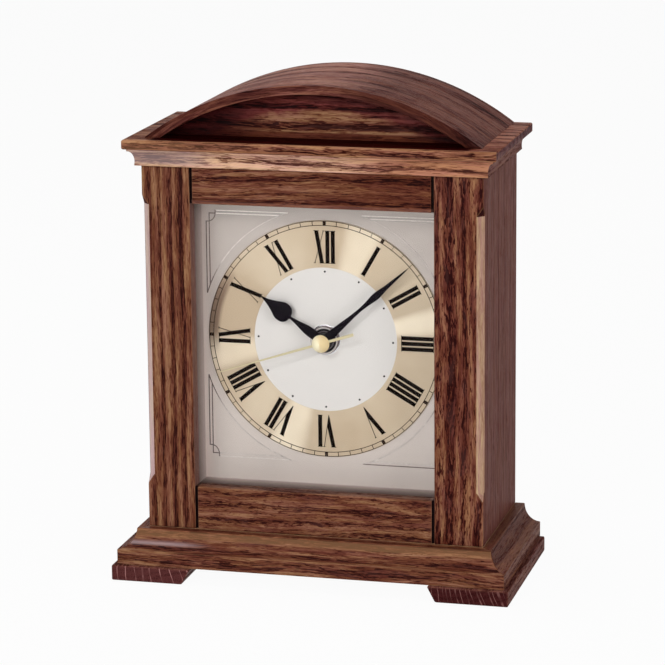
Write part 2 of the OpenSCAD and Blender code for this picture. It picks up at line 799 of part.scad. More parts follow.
// Second hand: a fine tapering blade with a parallel tail
second_hub_r = 3;
tail_half = 0.75;
blade_half = 0.65;
point_half = 0.25;
module second_hand() {
    color(brass_tint) difference() {
        union() {
            plate(second_y, hand_t) rotate(-second_angle)
                polygon([[-tail_half, -tail_len], [-blade_half, 0], [-point_half, second_len],
                    [point_half, second_len], [blade_half, 0], [tail_half, -tail_len]]);
            shaft([0, 0], second_y - hand_t, second_y, second_hub_r);
        }
        shaft([0, 0], second_y - hand_t - eps, second_y + eps, arbor_r);
    }
}

// The round cap that covers the ends of the hands' pipes
module second_cap() {
    dome_r = (boss_r * boss_r + cap_dome * cap_dome) / (2 * cap_dome);
    color(brass_tint) turned([0, 0], second_y - hand_t - cap_dome) intersection() {
        translate([0, 0, dome_r]) sphere(dome_r, $fn = 96);
        cylinder(r = boss_r, h = cap_dome);
    }
}

// Second wheel: its arbor runs through the pipes and carries the second hand
module second_wheel() {
    wheel_y = mov_y + second_layer;
    pinion_y = mov_y + third_layer - layer_gap / 2;
    color(brass_tint) union() {
        turned([0, 0], wheel_y)
            gear(second_wheel_n, inter_mod, wheel_t, face_tooth(inter_dir), 0);
        turned([0, 0], pinion_y)
            gear(second_pinion_n, third_mod, wheel_y - pinion_y + wheel_t / 2, face_tooth(third_dir), 0);
        shaft([0, 0], second_y - hand_t, mov_y + mov_inside + pivot_len, arbor_r);
    }
}

// Third wheel: takes its turn from the second pinion and hands it to the centre wheel
module third_wheel() {
    wheel_y = mov_y + third_layer;
    pinion_y = mov_y + centre_layer - layer_gap / 2;
    color(brass_tint) union() {
        turned(third_at, wheel_y)
            gear(third_wheel_n, third_mod, wheel_t, face_gap(third_dir + 180, third_wheel_n), 0);
        turned(third_at, pinion_y)
            gear(third_pinion_n, centre_mod, wheel_y - pinion_y + wheel_t / 2,
                face_gap(third_dir + 180, third_pinion_n), 0);
        shaft(third_at, mov_y + mov_wall - pivot_len, mov_y + mov_inside + pivot_len, pivot_r);
    }
}

// Centre wheel: turns once an hour and drives the cannon pinion by friction
module centre_wheel() {
    color(brass_tint) turned([0, 0], mov_y + centre_layer)
        gear(centre_wheel_n, centre_mod, wheel_t, face_tooth(third_dir), minute_pipe);
}

// Cannon pinion: its pipe carries the minute hand
module cannon_pinion() {
    gear_y = mov_y + motion_layer;
    pipe_y1 = mov_y + centre_layer + wheel_t + layer_gap;
    color(steel) difference() {
        union() {
            turned([0, 0], gear_y)
                gear(cannon_n, motion_mod, pinion_t, face_tooth(motion_dir), 0);
            shaft([0, 0], minute_y - hand_t, pipe_y1, minute_pipe);
        }
        shaft([0, 0], minute_y - hand_t - eps, pipe_y1 + eps, minute_bore);
    }
}

// Hour wheel: its pipe carries the hour hand
module hour_wheel() {
    gear_y = mov_y + hour_layer;
    color(brass_tint) difference() {
        union() {
            turned([0, 0], gear_y)
                gear(hour_wheel_n, hour_mod, wheel_t, face_tooth(motion_dir), 0);
            shaft([0, 0], hour_y - hand_t, gear_y + wheel_t, hour_pipe);
        }
        shaft([0, 0], hour_y - hand_t - eps, gear_y + wheel_t + eps, hour_bore);
    }
}

// Motion wheel: geared to the cannon pinion and, through its pinion, to the hour wheel
module motion_wheel() {
    wheel_y = mov_y + motion_layer;
    pinion_y = mov_y + hour_layer - layer_gap / 2;
    color(plastic) union() {
        turned(motion_at, wheel_y)
            gear(motion_wheel_n, motion_mod, wheel_t, face_gap(motion_dir + 180, motion_wheel_n), 0);
        turned(motion_at, pinion_y)
            gear(motion_pinion_n, hour_mod, wheel_y - pinion_y + wheel_t / 2,
                face_gap(motion_dir + 180, motion_pinion_n), 0);
        shaft(motion_at, mov_y + mov_wall - pivot_len, mov_back + layer_gap, arbor_r * 2);
    }
}

// The knob behind the movement that sets the hands, on the motion wheel's arbor
knob_ribs = 24;
knob_rib_r = 0.5;
module setting_knob() {
    color(plastic) turned(motion_at, mov_back + layer_gap) linear_extrude(knob_h) difference() {
        circle(knob_r);
        for (i = [0 : knob_ribs - 1]) rotate(360 * i / knob_ribs) translate([knob_r, 0])
            circle(knob_rib_r, $fn = 16);
    }
}

// Intermediate wheel, between the rotor and the second wheel
module intermediate_wheel() {
    wheel_y = mov_y + inter_layer;
    pinion_y = mov_y + second_layer - layer_gap / 2;
    color(plastic) union() {
        turned(inter_at, wheel_y)
            gear(inter_wheel_n, rotor_mod, wheel_t, face_tooth(rotor_dir), 0);
        turned(inter_at, pinion_y)
            gear(inter_pinion_n, inter_mod, wheel_y - pinion_y + wheel_t / 2,
                face_gap(inter_dir + 180, inter_pinion_n), 0);
        shaft(inter_at, bridge_y, mov_y + mov_inside + pivot_len, pivot_r);
    }
}

// Rotor: a round magnet with a pinion, turned by the stator
module rotor() {
    magnet_y = mov_y + magnet_layer;
    pinion_end = mov_y + inter_layer + pinion_t;
    color(steel) union() {
        turned(rotor_at, magnet_y)
            gear(rotor_pinion_n, rotor_mod, pinion_end - magnet_y,
                face_gap(rotor_dir + 180, rotor_pinion_n), 0);
        shaft(rotor_at, magnet_y, magnet_y + magnet_t, magnet_r);
        shaft(rotor_at, bridge_y, mov_y + mov_inside + pivot_len, pivot_r);
    }
}

// Train bridge: a plate on two posts of the case, in front of rotor and intermediate wheel
module train_bridge() {
    x0 = post_at[0][0] - bridge_margin;
    x1 = post_at[1][0] + bridge_margin;
    z1 = post_at[1][1] + bridge_margin;
    color(steel) plate(bridge_y + bridge_t, bridge_t) difference() {
        union() {
            translate([x0, z1 - bridge_h]) square([x1 - x0, bridge_h]);
            translate([inter_at[0] - bridge_margin, inter_at[1] - bridge_margin])
                square([2 * bridge_margin, z1 - inter_at[1]]);
        }
        for (p = [inter_at, rotor_at]) translate(p) circle(pivot_r + run_gap);
    }
}

// Stator: a plate round the rotor with two arms that carry the coil's core
module stator() {
    x0 = rotor_at[0];
    color(steel) plate(stator_back, stator_t) difference() {
        union() {
            translate([x0 - stator_arm, rotor_at[1] - stator_w / 2]) square([2 * stator_arm, stator_w]);
            for (s = [-1, 1]) translate([x0 + s * (stator_arm - core_w / 2) - core_w / 2, rotor_at[1]])
                square([core_w, coil_z - rotor_at[1] + core_w / 2]);
            translate([x0 - stator_arm, coil_z - core_w / 2]) square([2 * stator_arm, core_w]);
        }
        translate(rotor_at) circle(magnet_r + magnet_gap);
    }
}

// Coil: copper wire on the stator's core
module coil() {
    y0 = mov_y + magnet_layer + magnet_t / 2;
    color([0.6, 0.32, 0.16]) difference() {
        translate([rotor_at[0] - coil_len / 2, y0, dial_z + coil_z]) rotate([0, 90, 0])
            cylinder(r = coil_r, h = coil_len);
        translate([rotor_at[0], y0, dial_z + coil_z])
            cube([coil_len + 2 * eps, stator_t, core_w], center = true);
    }
}

// Circuit board with its chip and crystal, on the inside of the cover
module circuit_board() {
    x0 = -half_mov + mov_wall + fit_gap;
    z1 = half_mov - mov_wall - fit_gap;
    y0 = mov_y + mov_inside - pcb_t;
    chip = pcb_w / 3;
    color([0.1, 0.3, 0.16]) union() {
        block([x0, y0, dial_z + z1 - pcb_h], [x0 + pcb_w, y0 + pcb_t, dial_z + z1]);
        block([x0 + chip, y0 - pcb_t, dial_z + z1 - 2 * chip], [x0 + 2 * chip, y0, dial_z + z1 - chip]);
        translate([x0 + chip, y0 - pcb_t / 2, dial_z + z1 - pcb_h + pcb_t])
            cylinder(r = pcb_t, h = chip);
    }
}

// Bearing places in the movement's two shells
pivots = [third_at, inter_at, rotor_at];

// Movement case: a front wall with the threaded bush, side walls and the battery bay
module movement_case() {
    m = half_mov;
    w = mov_wall;
    color(black) difference() {
        union() {
            difference() {
                block([-m, mov_y, dial_z - m], [m, mov_y + mov_inside, dial_z + m]);
                block([-m + w, mov_y + w, dial_z + bay_z1 + w], [m - w, mov_back + eps, dial_z + m - w]);
                block([-bay_w, mov_y + w, dial_z + bay_z0], [bay_w, mov_back + eps, dial_z + bay_z1]);
            }
            bay_rim();
            shaft([0, 0], bush_tip, mov_y + w, bush_r);
            for (p = post_at) shaft(p, mov_y + w / 2, bridge_y, post_r);
        }
        shaft([0, 0], bush_tip - eps, mov_y + w + eps, bush_bore);
        shaft(third_at, mov_y + w - pivot_len - seat_gap, mov_y + w + eps, pivot_r + run_gap);
        shaft(motion_at, mov_y + w - pivot_len - seat_gap, mov_y + w + eps, arbor_r * 2 + run_gap);
    }
}

// The walls round the battery bay reach back to the cover's outer face
module bay_rim() {
    m = half_mov;
    difference() {
        block([-m, mov_y, dial_z - m], [m, mov_back, dial_z + bay_z1 + mov_wall]);
        block([-bay_w, mov_y + mov_wall, dial_z + bay_z0], [bay_w, mov_back + eps, dial_z + bay_z1]);
    }
}

// The cover closes the train behind; it carries the rear bearings and two posts for the stator
module movement_cover() {
    m = half_mov;
    color(plastic) difference() {
        union() {
            block([-m, mov_y + mov_inside, dial_z + bay_z1 + mov_wall], [m, mov_back, dial_z + m]);
            for (s = [-1, 1])
                shaft([rotor_at[0] + s * (stator_arm - core_w / 2), (rotor_at[1] + coil_z) / 2],
                    stator_back, mov_y + mov_d - mov_wall / 2, core_w / 2);
        }
        for (p = concat([[0, 0]], pivots))
            shaft(p, mov_y + mov_inside - eps, mov_y + mov_inside + pivot_len + seat_gap,
                (p == [0, 0] ? arbor_r : pivot_r) + run_gap);
        shaft(motion_at, mov_y + mov_inside - eps, mov_back + eps, arbor_r * 2 + run_gap);
    }
}

// Battery: a plain cell with its raised positive end to the right
module battery() {
    x0 = -cell_len / 2;
    color([0.35, 0.37, 0.4]) translate([x0, mov_y + cell_y, dial_z + bay_z]) rotate([0, 90, 0]) union() {
        cylinder(r = cell_r, h = cell_len - cell_cap_len);
        cylinder(r = cell_cap_r, h = cell_len);
    }
}

// Contacts: spring leaves on the end walls of the battery bay
module contact(s) {
    z = dial_z + bay_z;
    nub_x = cell_len / 2 + fit_gap;
    mirror([s < 0 ? 1 : 0, 0, 0]) union() {
        block([bay_w - contact_t, mov_y + cell_y - contact_w / 2, z - contact_h / 2],
            [bay_w, mov_y + cell_y + contact_w / 2, z + contact_h / 2]);
        translate([nub_x, mov_y + cell_y, z]) rotate([0, 90, 0])
            cylinder(r = contact_nub_r, h = bay_w - nub_x);
    }
}
module contact_positive() { color(steel) contact(1); }
module contact_negative() { color(steel) contact(-1); }

left_foot();
right_foot();
base_board();
plinth_front();
plinth_left();
plinth_right();
left_side_panel();
right_side_panel();
left_stile();
right_stile();
top_rail();
bottom_rail();
top_board();
back_panel();
back_screws();
cornice_front();
cornice_left();
cornice_right();
cap_board();
arch_hood();
front_tympanum();
rear_tympanum();
glass_pane();
spacer_top();
spacer_bottom();
spacer_left();
spacer_right();
dial_board();
dial_plate();
chapter_ring();
centre_disc();
hour_dots();
hour_numerals();
minute_track();
fixing_nut();
washer();
movement_case();
movement_cover();
circuit_board();
stator();
coil();
contact_positive();
contact_negative();
battery();
hour_wheel();
hour_hand();
cannon_pinion();
centre_wheel();
minute_hand();
second_wheel();
second_hand();
second_cap();
third_wheel();
motion_wheel();
setting_knob();
intermediate_wheel();
rotor();
train_bridge();
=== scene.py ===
import math

import bmesh
import bpy
import numpy as np
from mathutils import Euler, Matrix, Vector


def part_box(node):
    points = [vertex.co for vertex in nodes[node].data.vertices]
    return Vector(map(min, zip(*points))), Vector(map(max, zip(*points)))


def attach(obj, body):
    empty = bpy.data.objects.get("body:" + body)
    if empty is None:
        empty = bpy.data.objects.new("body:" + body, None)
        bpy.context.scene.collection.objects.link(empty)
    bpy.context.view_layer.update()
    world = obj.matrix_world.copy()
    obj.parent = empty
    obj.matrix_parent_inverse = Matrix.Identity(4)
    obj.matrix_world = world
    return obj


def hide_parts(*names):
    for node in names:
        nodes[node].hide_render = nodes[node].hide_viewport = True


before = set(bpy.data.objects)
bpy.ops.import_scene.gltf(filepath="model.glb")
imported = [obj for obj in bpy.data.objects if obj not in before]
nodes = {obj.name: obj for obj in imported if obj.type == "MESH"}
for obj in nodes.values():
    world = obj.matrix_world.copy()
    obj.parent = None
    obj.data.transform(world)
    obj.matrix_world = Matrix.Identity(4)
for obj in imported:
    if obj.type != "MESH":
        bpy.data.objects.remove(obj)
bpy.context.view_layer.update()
mm = 0.001
dialCentre = Vector((0, 0, 119.1 * mm))
print("stage: frame loaded,", len(nodes), "pieces")


# Shader helpers: a feed of a node is a number, a colour or another node's output, and a new node joins the
# tree that its feeds are in
def fed(made, feeds):
    for name, value in feeds.items():
        socket = made.inputs[name]
        if isinstance(value, bpy.types.NodeSocket):
            made.id_data.links.new(value, socket)
        else:
            socket.default_value = (*value, 1)[:4] if socket.type == "RGBA" else value
    return made


def addNode(kind, feeds, tree=None, **choices):
    tree = tree or next(v.id_data for v in feeds.values() if isinstance(v, bpy.types.NodeSocket))
    made = tree.nodes.new("ShaderNode" + kind)
    for name, value in choices.items():
        setattr(made, name, value)
    return fed(made, feeds)


def calc(operation, *values, clamp=False):
    return addNode("Math", dict(enumerate(values)), operation=operation, use_clamp=clamp).outputs[0]


def times(a, b):
    return calc("MULTIPLY", a, b)


def minus(a, b):
    return calc("SUBTRACT", a, b)


def calcVector(operation, *values):
    return addNode("VectorMath", dict(enumerate(values)), operation=operation).outputs[0]


def scaled(vector, by):
    return addNode("VectorMath", {0: vector, "Scale": by}, operation="SCALE").outputs[0]


def axes(vector):
    return addNode("SeparateXYZ", {0: vector}).outputs


def joined(*values):
    return addNode("CombineXYZ", dict(enumerate(values))).outputs[0]


def distance(a, b):
    # the root of a squared plus b squared
    return calc("SQRT", calc("ADD", times(a, a), times(b, b)))


def around(place, middle):
    # a point's coordinates, its distance from the middle (x, z) and its angle about it from straight up
    part = axes(place)
    x = minus(part[0], middle[0])
    z = minus(part[2], middle[1])
    return part, distance(x, z), calc("ARCTAN2", x, z)


def remap(value, low, high, toLow=0.0, toHigh=1.0, smooth=True):
    feeds = {"Value": value, "From Min": low, "From Max": high, "To Min": toLow, "To Max": toHigh}
    kind = "SMOOTHSTEP" if smooth else "LINEAR"
    return addNode("MapRange", feeds, interpolation_type=kind, clamp=True).outputs[0]


def spread(value, low, high):
    # a noise's usual span, 0.3 to 0.7, laid over low to high
    return remap(value, 0.3, 0.7, low, high, smooth=False)


def blendColour(share, first, second, mode="MIX"):
    # first where share is 0, second where it is 1
    mix = addNode("Mix", {0: share, 6: first, 7: second}, data_type="RGBA", blend_type=mode)
    return mix.outputs[2]


def rampColour(value, stops):
    ramp = addNode("ValToRGB", {0: value})
    while len(ramp.color_ramp.elements) < len(stops):
        ramp.color_ramp.elements.new(0.5)
    for element, (place, colour) in zip(ramp.color_ramp.elements, stops):
        element.position = place
        element.color = (*colour, 1)
    return ramp.outputs[0]


def noise(vector, scale, detail=2.0, rough=0.5, warp=0.0, out=0):
    feeds = {"Vector": vector, "Scale": scale, "Detail": detail, "Roughness": rough, "Distortion": warp}
    return addNode("TexNoise", feeds).outputs[out]


def stretched(vector, x, y, z):
    return calcVector("MULTIPLY", vector, (x, y, z))


def bump(height, distance, strength=1.0):
    return addNode("Bump", {"Height": height, "Distance": distance, "Strength": strength}).outputs[0]


def paint(red, green, blue):
    # a colour read off a screen, 0 to 255, as the light that it stands for
    share = np.array([red, green, blue]) / 255
    return tuple(np.where(share <= 0.04045, share / 12.92, ((share + 0.055) / 1.055) ** 2.4).tolist())


def newMaterial(name):
    # a material with its Principled shader, its output and the place of the shaded point
    material = bpy.data.materials.new(name)
    material.use_nodes = True
    tree = material.node_tree
    tree.nodes.clear()
    shader = addNode("BsdfPrincipled", {}, tree)
    addNode("OutputMaterial", {0: shader.outputs[0]})
    return material, shader, addNode("TexCoord", {}, tree).outputs["Object"]


def coat(shader, colour, rough, specular=0.5, metal=0.0, normal=None):
    feeds = {"Base Color": colour, "Roughness": rough, "Specular IOR Level": specular, "Metallic": metal}
    fed(shader, {**feeds, "Normal": normal} if normal else feeds)


def mixToOutput(share, first, second):
    mix = addNode("MixShader", {0: share, 1: first.outputs[0], 2: second.outputs[0]})
    output = next(n for n in mix.id_data.nodes if n.bl_idname == "ShaderNodeOutputMaterial")
    fed(output, {0: mix.outputs[0]})


def marked(material, mark):
    # a value that the mesh carries under the name mark
    return addNode("Attribute", {}, material.node_tree, attribute_name=mark).outputs["Fac"]


def seenDirectly(tree):
    # 1 for the eye, for gloss and for glass, and 0 for light that falls on things
    ray = addNode("LightPath", {}, tree).outputs
    mirrored = calc("MAXIMUM", ray["Is Glossy Ray"], ray["Is Transmission Ray"])
    return calc("MAXIMUM", ray["Is Camera Ray"], mirrored)


# Mesh helpers
def newObject(name, data):
    made = bpy.data.objects.new(name, data)
    bpy.context.scene.collection.objects.link(made)
    return made


def newMesh(name, points, quads):
    mesh = bpy.data.meshes.new(name)
    mesh.from_pydata((points * mm).tolist(), [], quads.tolist())
    return mesh


def turnOutwards(mesh, merge=0):
    # faces turned outwards, once points closer than merge have become one
    shape = bmesh.new()
    shape.from_mesh(mesh)
    if merge:
        bmesh.ops.remove_doubles(shape, verts=shape.verts, dist=merge)
    bmesh.ops.recalc_face_normals(shape, faces=shape.faces)
    shape.to_mesh(mesh)
    shape.free()


def smoothed(mesh, sharp):
    mesh.polygons.foreach_set("use_smooth", np.ones(len(mesh.polygons), dtype=bool))
    mesh.set_sharp_from_angle(angle=math.radians(sharp))


# Camera: it stands where the photograph's edges meet, to the right of the clock and above it
view = dict(place=(0.380817, -1.46295, 0.47136), yaw=14.53, pitch=13.05, roll=-0.535, lens=168.31)


def makeCamera(v):
    # level at first and looking along +Y, it is turned by yaw to the left, tipped down by pitch and rolled
    camera = newObject("camera", bpy.data.cameras.new("camera"))
    camera.data.lens = v["lens"]
    camera.data.sensor_width = 36
    camera.data.clip_start = 0.01
    camera.data.clip_end = 50
    stand = Matrix.Translation(v["place"])
    for degrees, axis in ((v["yaw"], "Z"), (90 - v["pitch"], "X"), (v["roll"], "Z")):
        stand = stand @ Matrix.Rotation(math.radians(degrees), 4, axis)
    camera.matrix_world = stand
    bpy.context.scene.camera = camera


makeCamera(view)


# Oak: a log in millimetres, its pith along X. The growth rings are circles round the pith, bent by a
# slow noise, and each begins with a band of open pores that drank the dark stain.
figureKeys = ("ringWidth", "bend", "sway", "poreLength", "poreWidth", "bands", "streak", "lines", "pores",
              "stain", "rayAngle")


def buildOakGroup():
    group = bpy.data.node_groups.new("oakFigure", "ShaderNodeTree")
    for way, kind, names in (("INPUT", "Vector", ["log"]), ("INPUT", "Float", figureKeys),
                             ("OUTPUT", "Float", ["dark", "open", "rays", "fibre", "plum"])):
        for name in names:
            group.interface.new_socket(name, in_out=way, socket_type="NodeSocket" + kind)
    feed = group.nodes.new("NodeGroupInput").outputs
    out = group.nodes.new("NodeGroupOutput").inputs
    log = feed["log"]
    for size, detail, amount in (((0.03, 0.1, 0.1), 1.0, feed["sway"]),
                                 ((0.012, 0.05, 0.05), 2.0, feed["bend"])):
        drift = noise(stretched(feed["log"], *size), 1.0, detail, 0.5, out="Color")
        drift = scaled(calcVector("SUBTRACT", drift, (0.5, 0.5, 0.5)), amount)
        log = calcVector("ADD", log, drift)
    part = axes(log)
    radius = distance(part[1], part[2])
    year = calc("DIVIDE", radius, feed["ringWidth"])
    uneven = noise(joined(year), 0.55, 1.0)
    year = calc("MULTIPLY_ADD", uneven, 1.8, year)
    phase = calc("FRACT", year)
    band = times(remap(phase, 0.0, 0.12), remap(phase, 0.3, 0.7, 1.0, 0.0))
    weight = noise(joined(calc("FLOOR", year), 3.0), 0.71, 0.0)
    band = times(band, remap(weight, 0.3, 0.62, 0.45, 1.0))
    # pores: short dashes along the grain, crowded in the early band and rarer outside it
    acrossGrain = calc("DIVIDE", 1.0, feed["poreWidth"])
    dashSize = joined(calc("DIVIDE", 1.0, feed["poreLength"]), acrossGrain, acrossGrain)
    dashPlace = calcVector("MULTIPLY", log, dashSize)
    dash = noise(dashPlace, 1.0, 2.5, 0.65, 0.2)
    limit = remap(band, 0.0, 1.0, 0.59, 0.485, smooth=False)
    dashes = remap(minus(dash, limit), -0.01, 0.045)
    fineDash = noise(stretched(dashPlace, 1.7, 2.3, 2.3), 1.0, 1.0, 0.5)
    fine = remap(minus(fineDash, limit), 0.0, 0.06)
    # lines a millimetre apart and bands a few millimetres wide, both long, run along the fibres
    lineNoise = noise(stretched(log, 0.045, 1.1, 1.1), 1.0, 3.0, 0.65, 0.25)
    lines = minus(remap(lineNoise, 0.36, 0.64), 0.5)
    streakNoise = noise(stretched(log, 0.024, 0.3, 0.3), 1.0, 4.0, 0.65, 0.4)
    streaks = minus(remap(streakNoise, 0.37, 0.63), 0.5)
    fibre = noise(stretched(log, 0.16, 2.2, 2.2), 1.0, 3.0, 0.65, 0.2)
    dark = calc("MULTIPLY_ADD", band, feed["bands"], feed["stain"])
    dark = calc("MULTIPLY_ADD", streaks, feed["streak"], dark)
    dark = calc("MULTIPLY_ADD", lines, feed["lines"], dark)
    dark = calc("MULTIPLY_ADD", calc("MULTIPLY_ADD", fine, 0.35, dashes), feed["pores"], dark)
    dark = calc("ADD", dark, spread(fibre, -0.2, 0.2), clamp=True)
    # rays: thin pale sheets that run out from the pith, one to each step of the angle, some of them faint
    angle = calc("DIVIDE", calc("ARCTAN2", part[2], part[1]), feed["rayAngle"])
    wander = noise(joined(angle, times(part[0], 0.05)), 0.9, 1.0)
    angle = calc("MULTIPLY_ADD", wander, 1.6, angle)
    wide = calc("DIVIDE", 0.2, times(feed["rayAngle"], radius))
    away = calc("ABSOLUTE", minus(calc("FRACT", angle), 0.5))
    sheet = remap(calc("DIVIDE", away, wide), 0.6, 1.3, 1.0, 0.0)
    sheetPlace = joined(calc("FLOOR", angle), times(part[0], 0.07), times(radius, 0.16))
    vivid = remap(noise(sheetPlace, 1.0, 1.0, 0.5), 0.34, 0.6, 0.15, 1.0)
    rays = times(sheet, vivid)
    # where the stain turned from gold towards plum
    plumNoise = noise(stretched(log, 0.018, 0.3, 0.3), 1.7, 2.0, 0.6, 0.5)
    plum = remap(plumNoise, 0.4, 0.62)
    for value, socket in zip((dark, calc("MAXIMUM", dashes, fine), rays, fibre, plum), out):
        group.links.new(value, socket)
    return group


oakGroup = buildOakGroup()

# Stained oak as the light falls on it, with light and shade painted into each look: golden late wood, brown,
# red-brown and nearly black pores
cutFigure = dict(bands=0.1, streak=0.3, lines=0.1, pores=0.12, stain=0.14)
oakLooks = {
    "front": dict(flat=[(146, 107, 76), (112, 69, 46), (84, 40, 27), (38, 9, 5)], end=(72, 33, 35),
        pit=(42, 14, 18), ray=(160, 108, 100), edge=0.2, specular=0.05),
    # side: painted shade, a darker copy for the sides, the feet and other faces turned away from the lamps
    "side": dict(flat=[(120, 78, 64), (104, 63, 52), (88, 48, 40), (58, 24, 18)], end=(86, 46, 45),
        pit=(52, 20, 20), ray=(172, 122, 118), edge=0.1, specular=0.01),
    # plinthSide: painted shade, a darker copy for the ends of the plinth
    "plinthSide": dict(flat=[(124, 80, 56), (104, 62, 44), (84, 44, 33), (50, 18, 14)], end=(90, 50, 44),
        pit=(52, 20, 18), ray=(160, 110, 96), edge=0.35, specular=0.03),
    # top: painted light with a painted sheen, a paler copy for the upper face of the hood
    "top": dict(flat=[(164, 118, 95), (136, 90, 74), (104, 60, 50), (48, 20, 18)], end=(80, 40, 40),
        pit=(44, 16, 20), ray=(160, 108, 100), edge=0.2, specular=0.02),
    # archFront: painted shade, a darker copy for the front of the hood
    "archFront": dict(flat=[(130, 84, 65), (98, 55, 43), (70, 30, 23), (36, 9, 6)], end=(80, 40, 40),
        pit=(44, 16, 20), ray=(160, 108, 100), edge=0.0, specular=0.05),
    # cove: a painted reflection of the pale floor, a paler copy for the cornice's cove
    "cove": dict(flat=[(216, 176, 141), (195, 155, 124), (146, 103, 79), (72, 38, 28)], end=(110, 70, 62),
        pit=(70, 34, 30), ray=(180, 140, 120), edge=0.0, specular=0.1),
    "inside": dict(flat=[(186, 148, 106), (166, 126, 88), (130, 90, 64), (86, 54, 40)], end=(140, 102, 76),
        pit=(90, 58, 44), ray=(200, 166, 132), edge=0.1, specular=0.15),
    # leftChamfer and rightChamfer: paler where the chamfer was cut, with a painted highlight that is stronger
    # on the left chamfer
    "leftChamfer": dict(flat=[(200, 177, 162), (191, 165, 150), (160, 128, 120), (110, 78, 74)],
        end=(190, 160, 150), pit=(130, 100, 90), ray=(220, 200, 190), edge=0.05, specular=0.1,
        figure=cutFigure),
    "rightChamfer": dict(flat=[(184, 154, 121), (162, 128, 103), (134, 94, 73), (92, 54, 42)],
        end=(160, 120, 100), pit=(100, 70, 60), ray=(200, 170, 150), edge=0.05, specular=0.1,
        figure=cutFigure),
    "stopShade": dict(flat=[(84, 46, 36), (68, 33, 27), (50, 20, 17), (34, 8, 8)], end=(60, 28, 24),
        pit=(40, 14, 12), ray=(90, 60, 50), edge=0.0, specular=0.02),
    # openingWallShade: painted shade, a darker copy for the inner walls of the opening
    "openingWallShade": dict(flat=[(126, 90, 76), (106, 70, 60), (82, 47, 41), (50, 22, 20)], end=(110, 74, 64),
        pit=(70, 40, 34), ray=(190, 160, 140), edge=0.05, specular=0.1, figure=cutFigure),
}
grainTurns = {"x": (0, 0, 0), "y": (0, 0, math.radians(-90)), "z": (0, math.radians(90), 0)}
oakDefaults = dict(look="front", grain="x", pith=(14, 60), tilt=0, ringWidth=4.6, bend=4.0, sway=1.8,
                   poreLength=9, poreWidth=0.7, bands=0.2, streak=0.38, lines=0.18, pores=0.55, stain=0.24,
                   rayAngle=0.03, gloss=0.42)
plumTint = (0.94, 0.85, 1.04, 1)
seam = dict(middle=60.45 * mm, half=0.72 * mm, face=-33.85 * mm, rise=71.75 * mm, level=118.5 * mm,
            stainAndShade=paint(18, 5, 6))


def seamShade(place):
    # the grooves between rails and stiles, painted near black: dark stain in the joint and painted shade in
    # the narrow gap; 1 inside them and 0 elsewhere
    part = axes(place)
    across = calc("ABSOLUTE", minus(calc("ABSOLUTE", part[0]), seam["middle"]))
    above = calc("ABSOLUTE", minus(part[2], seam["level"]))
    shade = times(remap(across, seam["half"], seam["half"] + 0.1 * mm, 1.0, 0.0),
                  remap(part[1], seam["face"], seam["face"] + 0.3 * mm))
    return times(shade, remap(above, seam["rise"] - 0.1 * mm, seam["rise"] + 0.1 * mm))


